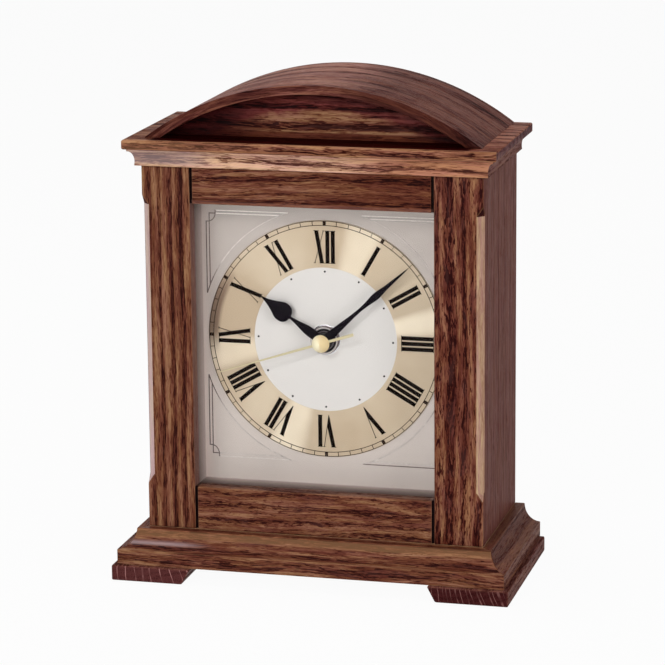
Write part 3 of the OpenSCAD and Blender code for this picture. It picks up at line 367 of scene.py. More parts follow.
# Painted light and shade: the lilac sheens and pale bands are painted highlights and reflections, and the
# dark places are painted shadow and shade in the recess, under the arch, in corners and on the sides away
# from the lamps. Each is a soft-edged block of half sizes round a middle, in millimetres, or the ring of wood
# close under the arch.
# painted shade gathered in a corner
cornerShade = dict(shade=(0.4, 0.22, 0.2, 1))
patches = {
    "plinthSheen": dict(middle=(-82, -48, 19.6), half=(12, 6, 1.0), soft=(20, 2, 1.7), tone=(200, 178, 180),
        share=0.58),
    "corniceSheen": dict(middle=(-78, -38, 213.5), half=(14, 9, 3.0), soft=(22, 2, 1.5),
        tone=(150, 130, 130), share=0.5),
    "corniceShade": dict(middle=(95, -38, 213), half=(45, 9, 5), soft=(50, 2, 1),
        shade=(0.66, 0.48, 0.4, 1)),
    # painted highlight along the lower front edge of the top rail
    "railLipHighlight": dict(middle=(0, -34, 190.6), half=(60, 1.5, 0.9), soft=(1, 1, 1.0), tone=(150, 106, 96),
        share=0.2),
    "railShade": dict(middle=(75, -34, 199.5), half=(35, 3, 12), soft=(60, 1, 1),
        shade=(0.66, 0.5, 0.45, 1)),
    # painted light: a lit golden band on the upper part of the plinth's cove
    "ledgeLitBand": dict(middle=(0, -40.5, 22.6), half=(110, 4.5, 1.3), soft=(1, 1, 0.9), tone=(172, 126, 88),
        share=0.34),
    "ledgeShade": dict(middle=(0, -36, 25), half=(110, 5, 0.3), soft=(1, 1, 0.4),
        shade=(0.93, 0.79, 0.73, 1)),
    "coveShade": dict(middle=(92, 0, 21), half=(4, 60, 3.0), soft=(3, 2, 2), shade=(0.62, 0.48, 0.44, 1)),
    # painted light on the left end of the cap's front
    "capLeftLight": dict(middle=(-88, -41.5, 219.5), half=(12, 0.6, 2.0), soft=(60, 0.4, 0.6),
        tone=(176, 130, 96), share=0.16),
    "capShade": dict(middle=(-92, 8, 222), half=(12, 46, 2), soft=(6, 2, 1), shade=(0.62, 0.5, 0.48, 1)),
    # painted shade on the right end of the cap
    "capRightShade": dict(middle=(94, 8, 222), half=(15, 46, 2), soft=(4, 3, 1), shade=(0.8, 0.62, 0.68, 1)),
    # painted shadow on the floor of the recess under the hood
    "recessFloorShadow": dict(middle=(0, -28.0, 222), half=(78, 10.6, 1.0), soft=(3.0, 1.4, 0.5),
        shade=(0.07, 0.006, 0.008, 1)),
    # painted shade along the foot of the tympanum, in the corner of the recess
    "tympanumFootShade": dict(middle=(0, -20.2, 222), half=(90, 2.0, 2.6), soft=(1.0, 1.0, 1.2), **cornerShade),
    # painted shadow of the hood on the tympanum, close under the arch
    "underArchShadow": dict(archMiddle=(3, 109.1), archInner=136.3, depth=9.5, soft=(2.0,),
        shade=(0.52, 0.22, 0.34, 1)),
    # painted shadow at the left and right ends of the recess
    "recessLeftShadow": dict(middle=(-90, -20, 230), half=(40, 3, 12), soft=(34, 1, 2),
        shade=(0.32, 0.15, 0.17, 1)),
    "recessRightShadow": dict(middle=(90, -20, 228), half=(24, 3, 12), soft=(26, 1, 2),
        shade=(0.42, 0.22, 0.22, 1)),
    # painted shade along the outer arris of the left chamfer
    "chamferLineShade": dict(middle=(-85.5, -30.4, 120), half=(0.3, 1.5, 74), soft=(0.25, 0.5, 3),
        shade=(0.4, 0.3, 0.3, 1)),
    # painted shade on the sides of the hood's top, away from the lamp above
    "hoodRightShade": dict(middle=(84, 8, 200), half=(50, 60, 60), soft=(34, 1, 1), shade=(0.39, 0.27, 0.24, 1)),
    "hoodLeftShade": dict(middle=(-80, 8, 200), half=(40, 60, 60), soft=(36, 1, 1), shade=(0.7, 0.6, 0.58, 1)),
}


# lays one patch over the colour: a painted tone is blended in, a painted shade is multiplied
def patchColour(place, patchName, colour):
    p = patches[patchName]
    part = axes(place)
    if "archInner" in p:
        radius = around(place, [m * mm for m in p["archMiddle"]])[1]
        ragged = noise(place, 160, 3.0, 0.6)
        radius = calc("MULTIPLY_ADD", minus(ragged, 0.5), 5 * mm, radius)
        start = (p["archInner"] - p["depth"]) * mm
        share = remap(radius, start - p["soft"][0] * mm, start + p["soft"][0] * mm)
    else:
        share = p.get("share", 1.0)
        for k in range(3):
            away = calc("ABSOLUTE", minus(part[k], p["middle"][k] * mm))
            near = remap(away, p["half"][k] * mm, (p["half"][k] + p["soft"][k]) * mm, 1.0, 0.0)
            share = times(share, near)
    if "shade" in p:
        return blendColour(share, colour, p["shade"], mode="MULTIPLY")
    return blendColour(share, colour, paint(*p["tone"]))


def bentPlace(spot, bend, centre):
    # a board bent over an arch: its length is the arc from the crown, its thickness the distance from the
    # arch's middle, and its grain follows the arc
    part, radius, angle = around(spot, [m * mm for m in bend["middle"]])
    spot = joined(times(angle, bend["radius"] * mm), part[1], radius)
    falling = times(calc("SINE", angle), -1.0)
    axis = joined(calc("COSINE", angle), 0.0, falling)
    return spot, axis, Vector((0, centre.y, bend["radius"] * mm))


# how strongly rays and pits show on flat and end grain, where end grain begins, and the lacquer's relief
oakMix = dict(rayFlat=0.06, pitEnd=0.6, rayEnd=0.85, end=(0.72, 0.92), openRough=0.25, openDepth=-0.8,
              fibreDepth=0.25, relief=0.12 * mm, seedStep=37.0)


def makeOak(name, centre, values):
    # the piece's own place in the log: its middle goes to the pith's offset and its grain along X
    look = {**oakLooks[values.get("look", "front")], **values.get("tones", {})}
    v = {**oakDefaults, **values, **look.get("figure", {})}
    m = oakMix
    material, shader, place = newMaterial(name)
    turn = Euler((0, 0, math.radians(v["tilt"]))).to_matrix() @ Euler(grainTurns[v["grain"]]).to_matrix()
    spot = place
    axis = tuple(Euler(grainTurns[v["grain"]]).to_matrix().transposed() @ Vector((1, 0, 0)))
    if "bent" in v:
        spot, axis, centre = bentPlace(spot, v["bent"], centre)
    offset = Vector((m["seedStep"] * v["seed"], v["pith"][0], v["pith"][1])) - turn @ (centre / mm)
    mapping = {"Vector": spot, "Location": offset, "Rotation": turn.to_euler(), "Scale": (1 / mm,) * 3}
    log = addNode("Mapping", mapping).outputs[0]
    oak = {"log": log, **{key: v[key] for key in figureKeys}}
    oak = addNode("Group", oak, node_tree=oakGroup).outputs
    tones = [paint(*tone) for tone in look["flat"]]
    end, pit, ray = (paint(*look[key]) for key in ("end", "pit", "ray"))
    flat = rampColour(oak["dark"], list(zip((0.0, 0.34, 0.66, 1.0), tones)))
    flat = blendColour(oak["plum"], flat, plumTint, mode="MULTIPLY")
    flat = blendColour(times(oak["rays"], m["rayFlat"]), flat, ray)
    endColour = blendColour(times(oak["open"], m["pitEnd"]), end, pit)
    endColour = blendColour(times(oak["rays"], m["rayEnd"]), endColour, ray)
    facing = {0: addNode("TexCoord", {}, material.node_tree).outputs["Normal"], 1: axis}
    facing = addNode("VectorMath", facing, operation="DOT_PRODUCT").outputs["Value"]
    isEnd = remap(calc("ABSOLUTE", facing), *m["end"])
    colour = blendColour(isEnd, flat, endColour)
    # the eased arrises are lightened towards the palest tone by the look's edge share: a painted highlight
    # along the edges
    edge = marked(material, "edge")
    colour = blendColour(times(edge, look["edge"]), colour, tones[0])
    if v.get("seamed"):
        colour = blendColour(seamShade(place), colour, seam["stainAndShade"])
    # the piece's patches of painted light and shade
    for patch in v.get("patches", []):
        colour = patchColour(place, patch, colour)
    rough = remap(oak["open"], 0.0, 1.0, v["gloss"], v["gloss"] + m["openRough"], smooth=False)
    height = times(oak["fibre"], m["fibreDepth"])
    height = calc("MULTIPLY_ADD", oak["open"], m["openDepth"], height)
    coat(shader, colour, rough, look["specular"], normal=bump(height, m["relief"], 0.6))
    return material


# Wood pieces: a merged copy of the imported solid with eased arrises; the eased faces carry the mark "edge"
def easedCopy(name, node, width, sharp=28, steps=2):
    mesh = nodes[node].data.copy()
    mesh.materials.clear()
    shape = bmesh.new()
    shape.from_mesh(mesh)
    bmesh.ops.remove_doubles(shape, verts=shape.verts, dist=0.000002)
    bmesh.ops.dissolve_limit(shape, angle_limit=math.radians(0.6), verts=shape.verts, edges=shape.edges)
    limit = math.radians(sharp)
    arrises = [e for e in shape.edges if len(e.link_faces) == 2 and e.calc_face_angle(0) > limit]
    mark = shape.faces.layers.float.new("edge")
    made = bmesh.ops.bevel(shape, geom=arrises, offset=width, offset_type="OFFSET", segments=steps,
                           profile=0.5, affect="EDGES", clamp_overlap=True)
    for face in made["faces"]:
        face[mark] = 1.0
    for face in shape.faces:
        face.smooth = True
    bmesh.ops.triangulate(shape, faces=[f for f in shape.faces if len(f.verts) > 4])
    shape.to_mesh(mesh)
    shape.free()
    mesh.set_sharp_from_angle(angle=math.radians(24))
    return newObject(name, mesh)


def dress(piece, body, slot, material, *replaced):
    # the piece rides on its body, stands for its imported solids and takes the material it is given; the slot
    # is not used
    if material:
        piece.data.materials.append(material)
    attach(piece, body)
    if replaced:
        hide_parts(*replaced)
    return piece


def middle(node):
    low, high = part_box(node)
    return (low + high) / 2


# Each wooden piece by its node: its cut from the log, its figure where it isn't the usual, and its patches
sidePanel = dict(look="side", grain="z", ringWidth=3.4, poreLength=26, poreWidth=0.6, streak=0.2, lines=0.26,
                 pores=0.3)
innerBoard = dict(look="inside", ringWidth=6, pores=0.3)
woodPieces = {
    "left_foot": dict(look="side", grain="y", pith=(-30, -140), ringWidth=3.2, rayAngle=0.033),
    # the right foot's darker end tones are painted shade on the side away from the lamps
    "right_foot": dict(look="side", grain="y", pith=(-16, -78), ringWidth=3.0, rayAngle=0.031,
        tones=dict(end=(64, 27, 27), pit=(36, 5, 5), ray=(124, 84, 80))),
    "plinth_front": dict(pith=(20, 40), ringWidth=7, bend=8, poreLength=8, streak=0.5, stain=0.36,
        patches=["plinthSheen", "ledgeLitBand", "ledgeShade"]),
    "plinth_left": dict(look="plinthSide", grain="y", pith=(10, 60), ringWidth=5, streak=0.3),
    "plinth_right": dict(look="plinthSide", grain="y", pith=(10, 64), ringWidth=5, streak=0.25, lines=0.1,
        pores=0.35, patches=["coveShade"]),
    "left_stile": dict(grain="z", pith=(10, 150), tilt=0.3, ringWidth=5.4, bend=3, sway=0.8, poreLength=8,
        poreWidth=0.55, bands=0.3, lines=0.2, pores=0.45, seamed=True, patches=["chamferLineShade"]),
    "right_stile": dict(grain="z", pith=(24, 60), tilt=1.6, ringWidth=7, bend=9, poreLength=6,
        poreWidth=0.8, streak=0.5, pores=0.7, stain=0.3, seamed=True,
        tones=dict(flat=[(142, 100, 70), (106, 60, 42), (78, 32, 22), (36, 5, 3)])),
    "top_rail": dict(pith=(12, 60), tilt=1.2, ringWidth=5.2, bend=7, poreWidth=0.6, stain=0.3,
        patches=["railShade", "railLipHighlight"], seamed=True),
    "bottom_rail": dict(pith=(16, -50), tilt=1.0, ringWidth=6.5, bend=9, poreLength=4.5, poreWidth=0.6,
        stain=0.3, seamed=True),
    "left_side_panel": dict(pith=(120, 14), **sidePanel),
    "right_side_panel": dict(pith=(130, 14), **sidePanel),
    "cornice_front": dict(look="cove", pith=(20, 40), ringWidth=6, bend=6, streak=0.55, pores=0.5,
        stain=0.18, patches=["corniceSheen", "corniceShade"]),
    "cornice_left": dict(look="side", grain="y", pith=(10, 50), ringWidth=4),
    "cornice_right": dict(look="side", grain="y", pith=(10, 50), ringWidth=4),
    "cap_board": dict(pith=(36, 30), ringWidth=7, bend=6, streak=0.5, lines=0.1, stain=0.17,
        tones=dict(flat=[(164, 121, 86), (136, 91, 64), (98, 54, 38), (38, 9, 5)], specular=0.015),
        patches=["recessFloorShadow", "capShade", "capRightShade", "capLeftLight"], pores=0.5),
    "arch_hood": dict(look="top", pith=(24, 46), bent=dict(middle=(0, 109.1), radius=140.9), ringWidth=9,
        bend=12, poreLength=12, bands=0.24, streak=0.5, lines=0.1, pores=0.35, stain=0.2,
        patches=["hoodLeftShade", "hoodRightShade"]),
    "front_tympanum": dict(pith=(12, 60), ringWidth=7.5, bend=6, poreWidth=0.8, bands=0.4, streak=0.5,
        stain=0.18, patches=["underArchShadow", "recessLeftShadow", "recessRightShadow", "tympanumFootShade"]),
    "rear_tympanum": dict(look="side", pith=(12, 60), bend=5, poreLength=14, poreWidth=0.9),
    "base_board": dict(pith=(60, 12), streak=0.2, **innerBoard),
    "top_board": dict(pith=(50, 12), streak=0.2, **innerBoard),
    "dial_board": dict(pith=(70, 30), streak=0.1, **innerBoard),
    "back_panel": dict(look="inside", grain="z", pith=(-70, 60), ringWidth=7, bend=9, streak=0.2,
        pores=0.25, stain=0.15),
}
easing = dict(usual=0.35 * mm, foot=0.7 * mm, thin=0.2 * mm)
lookSlots = {"side": "oak_side", "plinthSide": "oak_side", "inside": "oak_inside"}


for seed, values in enumerate(woodPieces.values(), 1):
    values["seed"] = seed


def makeWood():
    for node, values in woodPieces.items():
        width = easing["foot"] if "foot" in node else easing["thin"] if "board" in node else easing["usual"]
        piece = easedCopy("wood_" + node, node, width)
        material = makeOak("oak_" + node, middle(node), values)
        dress(piece, "clock_case", lookSlots.get(values.get("look"), "oak_front"), material, node)
        if "stile" in node:
            side, look = (-1, "leftChamfer") if "left" in node else (1, "rightChamfer")
            relook(piece, node, values, look, lambda n: n.x * side > 0.5 and n.y < -0.5)
            relook(piece, node, values, "stopShade", lambda n: -0.95 < n.z < -0.3)
            relook(piece, node, values, "openingWallShade", lambda n: n.x * side < -0.8)
            relook(piece, node, woodPieces["right_side_panel"], "side", lambda n: n.x * side > 0.95)
        if node == "arch_hood":
            relook(piece, node, values, "archFront", lambda n: n.y < -0.3, least=0)


def relook(piece, node, values, look, chosen, least=4):
    # the wide faces that are chosen by their normals take another look, with its own painted light and shade:
    # the stopped chamfers, pale where they were cut and with a painted highlight, the stops and the opening's
    # inner walls in painted shade, the stiles' outer sides as the shaded side, and the front of the hood in
    # painted shade
    material = makeOak(look + "_" + node, middle(node), {**values, "look": look, "tones": {}})
    piece.data.materials.append(material)
    for face in piece.data.polygons:
        if face.area > least * mm * mm and chosen(face.normal):
            face.material_index = len(piece.data.materials) - 1


makeWood()
print("stage: wood made")


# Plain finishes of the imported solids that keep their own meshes
def makePaint(name, tone, rough=0.5, metal=0.0, mottle=0.08, grain=900, depth=1e-5, specular=0.5):
    # a finish whose tone and height wander a little, as paint, ink and moulded plastic do
    material, shader, place = newMaterial(name)
    speck = noise(place, grain, 3.0, 0.6)
    cloud = noise(place, grain / 12, 2.0, 0.5)
    shade = calc("MULTIPLY_ADD", minus(cloud, 0.5), mottle * 2, 1.0)
    mixed = scaled(paint(*tone), shade)
    rough = spread(speck, rough - 0.04, rough + 0.04)
    coat(shader, mixed, rough, specular, metal, bump(speck, depth, 0.6))
    return material


# The chapter ring, spun, with its sheen painted in: where it shines, as clock angles in degrees with each
# wedge's half width and strength, and the painted shade of its rim, a wedge at the left
ringLook = dict(plain=paint(188, 168, 143), sheenTone=paint(248, 235, 212), rim=paint(112, 88, 74), rough=0.45,
                metal=0.15, specular=0.08, ground=0.06, rimInner=56.0 * mm, rimAngle=283, rimHalf=12,
                wedges=[(20, 5.8, 0.54), (78.2, 4.4, 0.76), (200, 5.8, 0.56), (261, 5.8, 0.42),
                        (52, 16, 0.14), (328, 15, 0.18), (125, 26, 0.08), (223, 11, 0.2), (288, 13, -0.16)])


def makeSpunRing(look):
    # a face turned on a lathe: fine rings about the centre, a painted sheen in wedges that stand still, and
    # painted shade on the rim at the left
    material, shader, place = newMaterial("spun_gold")
    radius, angle = around(place, (0, dialCentre.z))[1:]
    rings = noise(joined(radius), 9000, 2.0, 0.6)
    paintedSheen = look["ground"]
    for turn, half, strength in look["wedges"]:
        paintedSheen = calc("MULTIPLY_ADD", hill(angle, turn, half), strength, paintedSheen)
    cloud = noise(place, 60, 2.0, 0.5)
    paintedSheen = calc("ADD", paintedSheen, spread(cloud, -0.08, 0.08), clamp=True)
    colour = blendColour(paintedSheen, look["plain"], look["sheenTone"])
    rimShade = times(hill(angle, look["rimAngle"], look["rimHalf"]),
                 remap(radius, look["rimInner"] - 2.4 * mm, look["rimInner"] + 0.6 * mm))
    colour = blendColour(times(rimShade, 0.85), colour, look["rim"])
    colour = scaled(colour, spread(rings, 0.97, 1.02))
    coat(shader, colour, look["rough"], look["specular"], look["metal"], bump(rings, 3e-6, 0.5))
    return material


def hill(angle, turn, half):
    # a smooth hill round the clock angle turn, down to nothing at twice its half width
    away = calc("COSINE", minus(angle, math.radians(turn)))
    return remap(away, math.cos(math.radians(2 * half)), 1.0)


# The card behind the frame: painted shade at the glass, and towards the plate painted light reflected from
# the plate
spacerLook = dict(front=paint(56, 34, 30), back=paint(184, 170, 165), near=-23.9 * mm, far=-7.0 * mm)


def makeSpacer(look, name, power):
    material, shader, place = newMaterial(name)
    part = axes(place)
    depth = calc("POWER", remap(part[1], look["near"], look["far"], smooth=False), power)
    cloud = noise(place, 500, 2.0, 0.5)
    share = calc("ADD", depth, spread(cloud, -0.04, 0.04), clamp=True)
    # painted shade blends into painted reflected light with depth
    colour = blendColour(share, look["front"], look["back"])
    coat(shader, colour, 0.6, 0.1, normal=bump(cloud, 1e-5, 0.5))
    return material


# The second hand's cap: a gold dome with a painted reflection that makes one half pale
capLook = dict(pale=paint(255, 246, 212), gold=paint(226, 203, 156), rough=0.62, metal=0.05, turn=262,
               half=62)


def makeCap(look):
    material, shader, place = newMaterial("cap_gold")
    angle = around(place, (0, dialCentre.z))[2]
    # painted reflection: the pale half
    share = hill(angle, look["turn"], look["half"])
    colour = blendColour(share, look["gold"], look["pale"])
    speck = noise(place, 1500, 2.0, 0.5)
    coat(shader, colour, look["rough"], 0.2, look["metal"], bump(speck, 4e-6, 0.5))
    return material


# The plate: its plain tone and the tone of painted light along its left edge, where that light fades, and the
# painted shade that darkens it from foot to top
plateLook = dict(plain=paint(187, 177, 171), paintedLightTone=paint(240, 226, 219), left=(-64 * mm, -53 * mm),
                 paintedLightShare=0.85, fade=60 * mm, below=1.1, above=0.86)


def makePlate(look):
    # satin silver, with painted light along its left edge and painted shade growing towards the top
    material, shader, place = newMaterial("dial_silver")
    part = axes(place)
    share = times(remap(part[0], *look["left"], 1.0, 0.0), look["paintedLightShare"])
    speck = noise(place, 1500, 3.0, 0.6)
    cloud = noise(place, 40, 2.0, 0.5)
    colour = blendColour(share, look["plain"], look["paintedLightTone"])
    low, high = dialCentre.z - look["fade"], dialCentre.z + look["fade"]
    fade = remap(part[2], low, high, look["below"], look["above"])
    colour = scaled(colour, times(fade, spread(cloud, 0.97, 1.03)))
    coat(shader, colour, spread(speck, 0.38, 0.46), 0.2, 0.3, bump(speck, 3e-6, 0.6))
    return material


def makeGlass():
    # clear to light on its way to the dial, so that the pane throws no shadow
    material, shader = newMaterial("clear_glass")[:2]
    tree = material.node_tree
    clarity = (0.985, 0.985, 0.98)
    fed(shader, {"Base Color": clarity, "Roughness": 0.0, "IOR": 1.12, "Transmission Weight": 1.0})
    clear = addNode("BsdfTransparent", {0: clarity}, tree)
    ray = addNode("LightPath", {}, tree).outputs
    through = calc("MAXIMUM", ray["Is Shadow Ray"], ray["Is Diffuse Ray"])
    mixToOutput(through, shader, clear)
    return material


finishes = {
    "glass": makeGlass(),
    # the bottom card keeps its painted shadow further back
    "spacer": makeSpacer(spacerLook, "spacer_card", 0.9),
    "lowSpacer": makeSpacer(spacerLook, "spacer_card_low", 2.0),
    "silver": makePlate(plateLook),
    "gold": makeSpunRing(ringLook),
    "cap": makeCap(capLook),
    "white": makePaint("disc_white", (225, 221, 218), mottle=0.01, grain=1500, depth=3e-6, specular=0.1),
    "ink": makePaint("black_ink", (14, 6, 4), rough=0.6, mottle=0.1, grain=1500, depth=2e-6, specular=0.02),
    "track": makePaint("track_ink", (42, 27, 19), rough=0.6, mottle=0.1, grain=1500, specular=0.05),
    "handBlack": makePaint("hand_black", (8, 3, 10), mottle=0.1, grain=1200, depth=4e-6, specular=0.03),
    "handGold": makePaint("hand_gold", (206, 194, 158), rough=0.6, mottle=0.04, grain=1200, depth=4e-6,
                          specular=0.1),
    "nickel": makePaint("nickel", (225, 225, 228), rough=0.16, metal=1.0, mottle=0.03),
    "steel": makePaint("plain_steel", (176, 176, 178), rough=0.32, metal=1.0, mottle=0.05),
    "brass": makePaint("gear_brass", (206, 172, 104), rough=0.3, metal=1.0, mottle=0.05),
    "nylon": makePaint("gear_nylon", (228, 222, 208), mottle=0.03),
    "plastic": makePaint("case_plastic", (42, 42, 44), mottle=0.1, grain=2600, depth=3e-5),
    "mark": makePaint("mark_grey", (120, 120, 124), mottle=0.1, grain=1500),
    "board": makePaint("circuit_laminate", (52, 104, 66), rough=0.4, grain=1200),
    "copper": makePaint("copper_wire", (188, 112, 66), rough=0.3, metal=1.0, mottle=0.1, grain=2500,
                        depth=4e-5),
}
nodeFinishes = {
    "glass": ["glass_pane"],
    "spacer": ["spacer_top", "spacer_left", "spacer_right"], "lowSpacer": ["spacer_bottom"],
    "silver": ["dial_plate"], "gold": ["chapter_ring"], "white": ["centre_disc"],
    "ink": ["hour_numerals", "hour_dots"], "track": ["minute_track"],
    "handBlack": ["hour_hand", "minute_hand"], "handGold": ["second_hand"], "cap": ["second_cap"],
    "nickel": ["fixing_nut", "washer"],
    "steel": ["train_bridge", "stator", "contact_positive", "contact_negative", "cannon_pinion", "rotor"],
    "brass": ["hour_wheel", "centre_wheel", "second_wheel", "third_wheel"],
    "nylon": ["motion_wheel", "intermediate_wheel"],
    "board": ["circuit_board"], "copper": ["coil"],
}
for finish, members in nodeFinishes.items():
    for node in members:
        nodes[node].data.materials.clear()
        nodes[node].data.materials.append(finishes[finish])
print("stage: finishes made")


# Hands: stamped from sheet, with their front arrises softened by the paint
handPieces = {"hour_hand": ("hour", "hand_black", "handBlack"),
              "minute_hand": ("minute", "hand_black", "handBlack"),
              "second_hand": ("seconds", "hand_gold", "handGold")}


def makeHands():
    for node, (body, slot, finish) in handPieces.items():
        piece = easedCopy("eased_" + node, node, 0.12 * mm)
        dress(piece, body, slot, finishes[finish], node)


makeHands()
print("stage: hands made")


# Corner ornament of the plate: two fine raised lines that follow the corner and end in spikes on an arc
cornerLines = dict(outerX=60.9, outerZ=63.2, innerX=59.3, innerZ=61.7, notch=[(60.9, 57.5), (59.3, 57.6),
                   (58.3, 58.0), (57.4, 58.7), (56.7, 59.7), (56.25, 60.9), (56.15, 62.0), (56.15, 63.2)],
                   outerEnds=(21.0, 18.7), innerEnds=(25.5, 22.8), arc=(64.4, 65.9), halfWidth=0.27,
                   # lit: for each corner, how much of the arc, the outer line and the inner line is painted
                   # pale, a painted highlight on the raised lines
                   lit={(-1, 1): (0.52, 0.95, 0.95), (1, 1): (0.45, 0.8, 0.8), (-1, -1): (0.4, 0.55, 0.45),
                        (1, -1): (0.42, 0.0, 0.48)},
                   plate=-7.0, proud=0.06, dark=paint(112, 96, 92), light=paint(252, 246, 240))


def makeRibbons(name, paths, halfWidth, back, front):
    # each path is points (x, z, lit); at every point stands a rectangle across the path, mitred at bends,
    # and quads join each rectangle to the next, with one more at either end
    places, faces, lit = [], [], []
    for path in paths:
        line = np.array(path, dtype=float)
        step = np.diff(line[:, :2], axis=0)
        step /= np.linalg.norm(step, axis=1)[:, None]
        side = np.stack([-step[:, 1], step[:, 0]], axis=1)
        before = np.vstack([side[:1], side])
        after = np.vstack([side, side[-1:]])
        mitre = before + after
        mitre /= np.maximum((mitre * before).sum(axis=1), 0.6)[:, None]
        one = line[:, :2] + mitre * halfWidth
        two = line[:, :2] - mitre * halfWidth
        start = sum(len(block) for block in places)
        sides = ((one, front), (two, front), (two, back), (one, back))
        ring = np.stack([np.insert(flat, 1, depth, axis=1) for flat, depth in sides], axis=1)
        places.append(ring.reshape(-1, 3))
        lit.append(np.repeat(line[:, 2], 4))
        base = start + 4 * np.arange(len(line) - 1)[:, None]
        corner = np.arange(4)[None, :]
        following = (corner + 1) % 4
        quads = np.stack([base + corner, base + following, base + 4 + following, base + 4 + corner], axis=2)
        last = start + 4 * (len(line) - 1)
        ends = np.array([[start + 3, start + 2, start + 1, start], [last, last + 1, last + 2, last + 3]])
        faces.append(np.vstack([quads.reshape(-1, 4), ends]))
    mesh = newMesh(name, np.vstack(places), np.vstack(faces))
    mark = mesh.attributes.new("lit", "FLOAT", "POINT")
    mark.data.foreach_set("value", np.concatenate(lit))
    return newObject(name, mesh)


def cornerPaths(v):
    # one corner's three lines, in millimetres from the dial's centre, for each of the four corners
    turn = np.radians(np.linspace(math.degrees(math.atan2(v["outerX"], v["outerEnds"][0])),
                                  math.degrees(math.atan2(v["outerEnds"][1], v["outerZ"])), 25))
    reach = np.linspace(v["arc"][0], v["arc"][1], 25)
    turnX = v["notch"][-1][0]
    outer = [(v["outerX"], v["outerEnds"][0])] + v["notch"]
    inner = [(v["innerX"], v["innerEnds"][0]), (v["innerX"], v["innerZ"]), (turnX, v["innerZ"])]
    outer += [(turnX - 0.7, v["outerZ"]), (v["outerEnds"][1], v["outerZ"])]
    inner += [(turnX - 0.7, v["innerZ"]), (v["innerEnds"][1], v["innerZ"])]
    arc = list(zip(reach * np.sin(turn), reach * np.cos(turn)))
    paths = []
    for sideX in (-1, 1):
        for sideZ in (-1, 1):
            for line in (outer, inner, arc):
                points = []
                for index, (x, z) in enumerate(line):
                    level = v["lit"][(sideX, sideZ)]
                    lit = level[0] * min(1, max(0, index / 5 - 0.6)) if line is arc else 0.0
                    if line is not arc and x < turnX - 0.3:
                        lit = level[1] if line is outer else level[2]
                    points.append((sideX * x, dialCentre.z / mm + sideZ * z, lit))
                paths.append(points)
    return paths


def makeCornerLines(v):
    back, front = v["plate"] + 0.02, v["plate"] - v["proud"]
    piece = makeRibbons("corner_lines", cornerPaths(v), v["halfWidth"], back, front)
    material, shader, place = newMaterial("corner_line")
    speck = noise(place, 900, 2.0, 0.5)
    # the lit share turns the brown lines pale: a painted highlight
    share = calc("ADD", marked(material, "lit"), spread(speck, -0.1, 0.1), clamp=True)
    colour = blendColour(share, v["dark"], v["light"])
    coat(shader, colour, 0.45, 0.2)
    dress(piece, "clock_case", "dial_silver", material)


makeCornerLines(cornerLines)


# The nut that holds the movement: a bright rim, a black groove and a bright inner ring round the bush
hubNut = dict(section=[(4.0, -7.8), (7.2, -7.8), (7.2, -9.25), (7.08, -9.7), (6.8, -10.0), (6.35, -10.0),
                       (6.1, -9.85), (5.75, -9.0), (5.05, -9.0), (4.95, -9.7), (4.8, -9.9), (4.25, -9.9),
                       (4.0, -9.8)],
              bands=[(0, "black"), (4.45, "black"), (4.5, "grey"), (4.85, "grey"), (4.9, "black"),
                     (5.95, "black"), (6.05, "chrome"), (6.75, "chrome"), (6.9, "dark"), (7.2, "dark")],
              black=paint(16, 8, 14), grey=paint(120, 112, 118), chrome=paint(206, 198, 196),
              dark=paint(96, 80, 80), steps=96)


def gridMesh(name, points, sharp=30):
    # points is a grid of places, rows along the shape and columns round it; quads join the neighbours, the
    # columns close into a ring, doubled points at a pole or a seam are merged and the faces turned outwards
    rows, columns = points.shape[:2]
    i, k = np.meshgrid(np.arange(rows - 1), np.arange(columns), indexing="ij")
    m = (k + 1) % columns
    quads = np.stack([i * columns + k, i * columns + m, (i + 1) * columns + m, (i + 1) * columns + k], axis=2)
    mesh = newMesh(name, points.reshape(-1, 3), quads.reshape(-1, 4))
    turnOutwards(mesh, merge=0.001 * mm)
    smoothed(mesh, sharp)
    return mesh


def turnedRing(section, steps):
    # a closed section of (radius, y) turned about the dial's axis: x = r sin(a), z = centre + r cos(a)
    radius, y = np.array(section).T
    angle = np.linspace(0, 2 * np.pi, steps + 1)[:, None]
    height = dialCentre.z / mm + radius * np.cos(angle)
    return np.stack([radius * np.sin(angle), np.broadcast_to(y, height.shape), height], axis=2)


def makeHubNut(v):
    piece = newObject("hub_nut", gridMesh("hub_nut", turnedRing(v["section"], v["steps"]), sharp=24))
    material, shader, place = newMaterial("hub_chrome")
    radius = around(place, (0, dialCentre.z))[1]
    reach = v["bands"][-1][0]
    stops = [(start / reach, v[tone]) for start, tone in v["bands"]]
    colour = rampColour(calc("DIVIDE", radius, reach * mm), stops)
    speck = noise(place, 1200, 2.0, 0.5)
    coat(shader, colour, spread(speck, 0.3, 0.4), 0.3, 0.2)
    dress(piece, "clock_case", "nickel", material, "fixing_nut")


makeHubNut(hubNut)
print("stage: ornament and nut made")


# Back screws: low domes with a crossed recess
screws = dict(places=[(-76.75, 41.55), (76.75, 41.55), (-76.75, 200.55), (76.75, 200.55)], head=2.1,
              seat=46.1, dome=1.2, rim=0.45, pin=1.15, tip=37.4, slotHalf=0.28, slotReach=1.15,
              slotDepth=0.7, slotSlope=0.12, steps=96, turns=(8, 31, 52, 77))


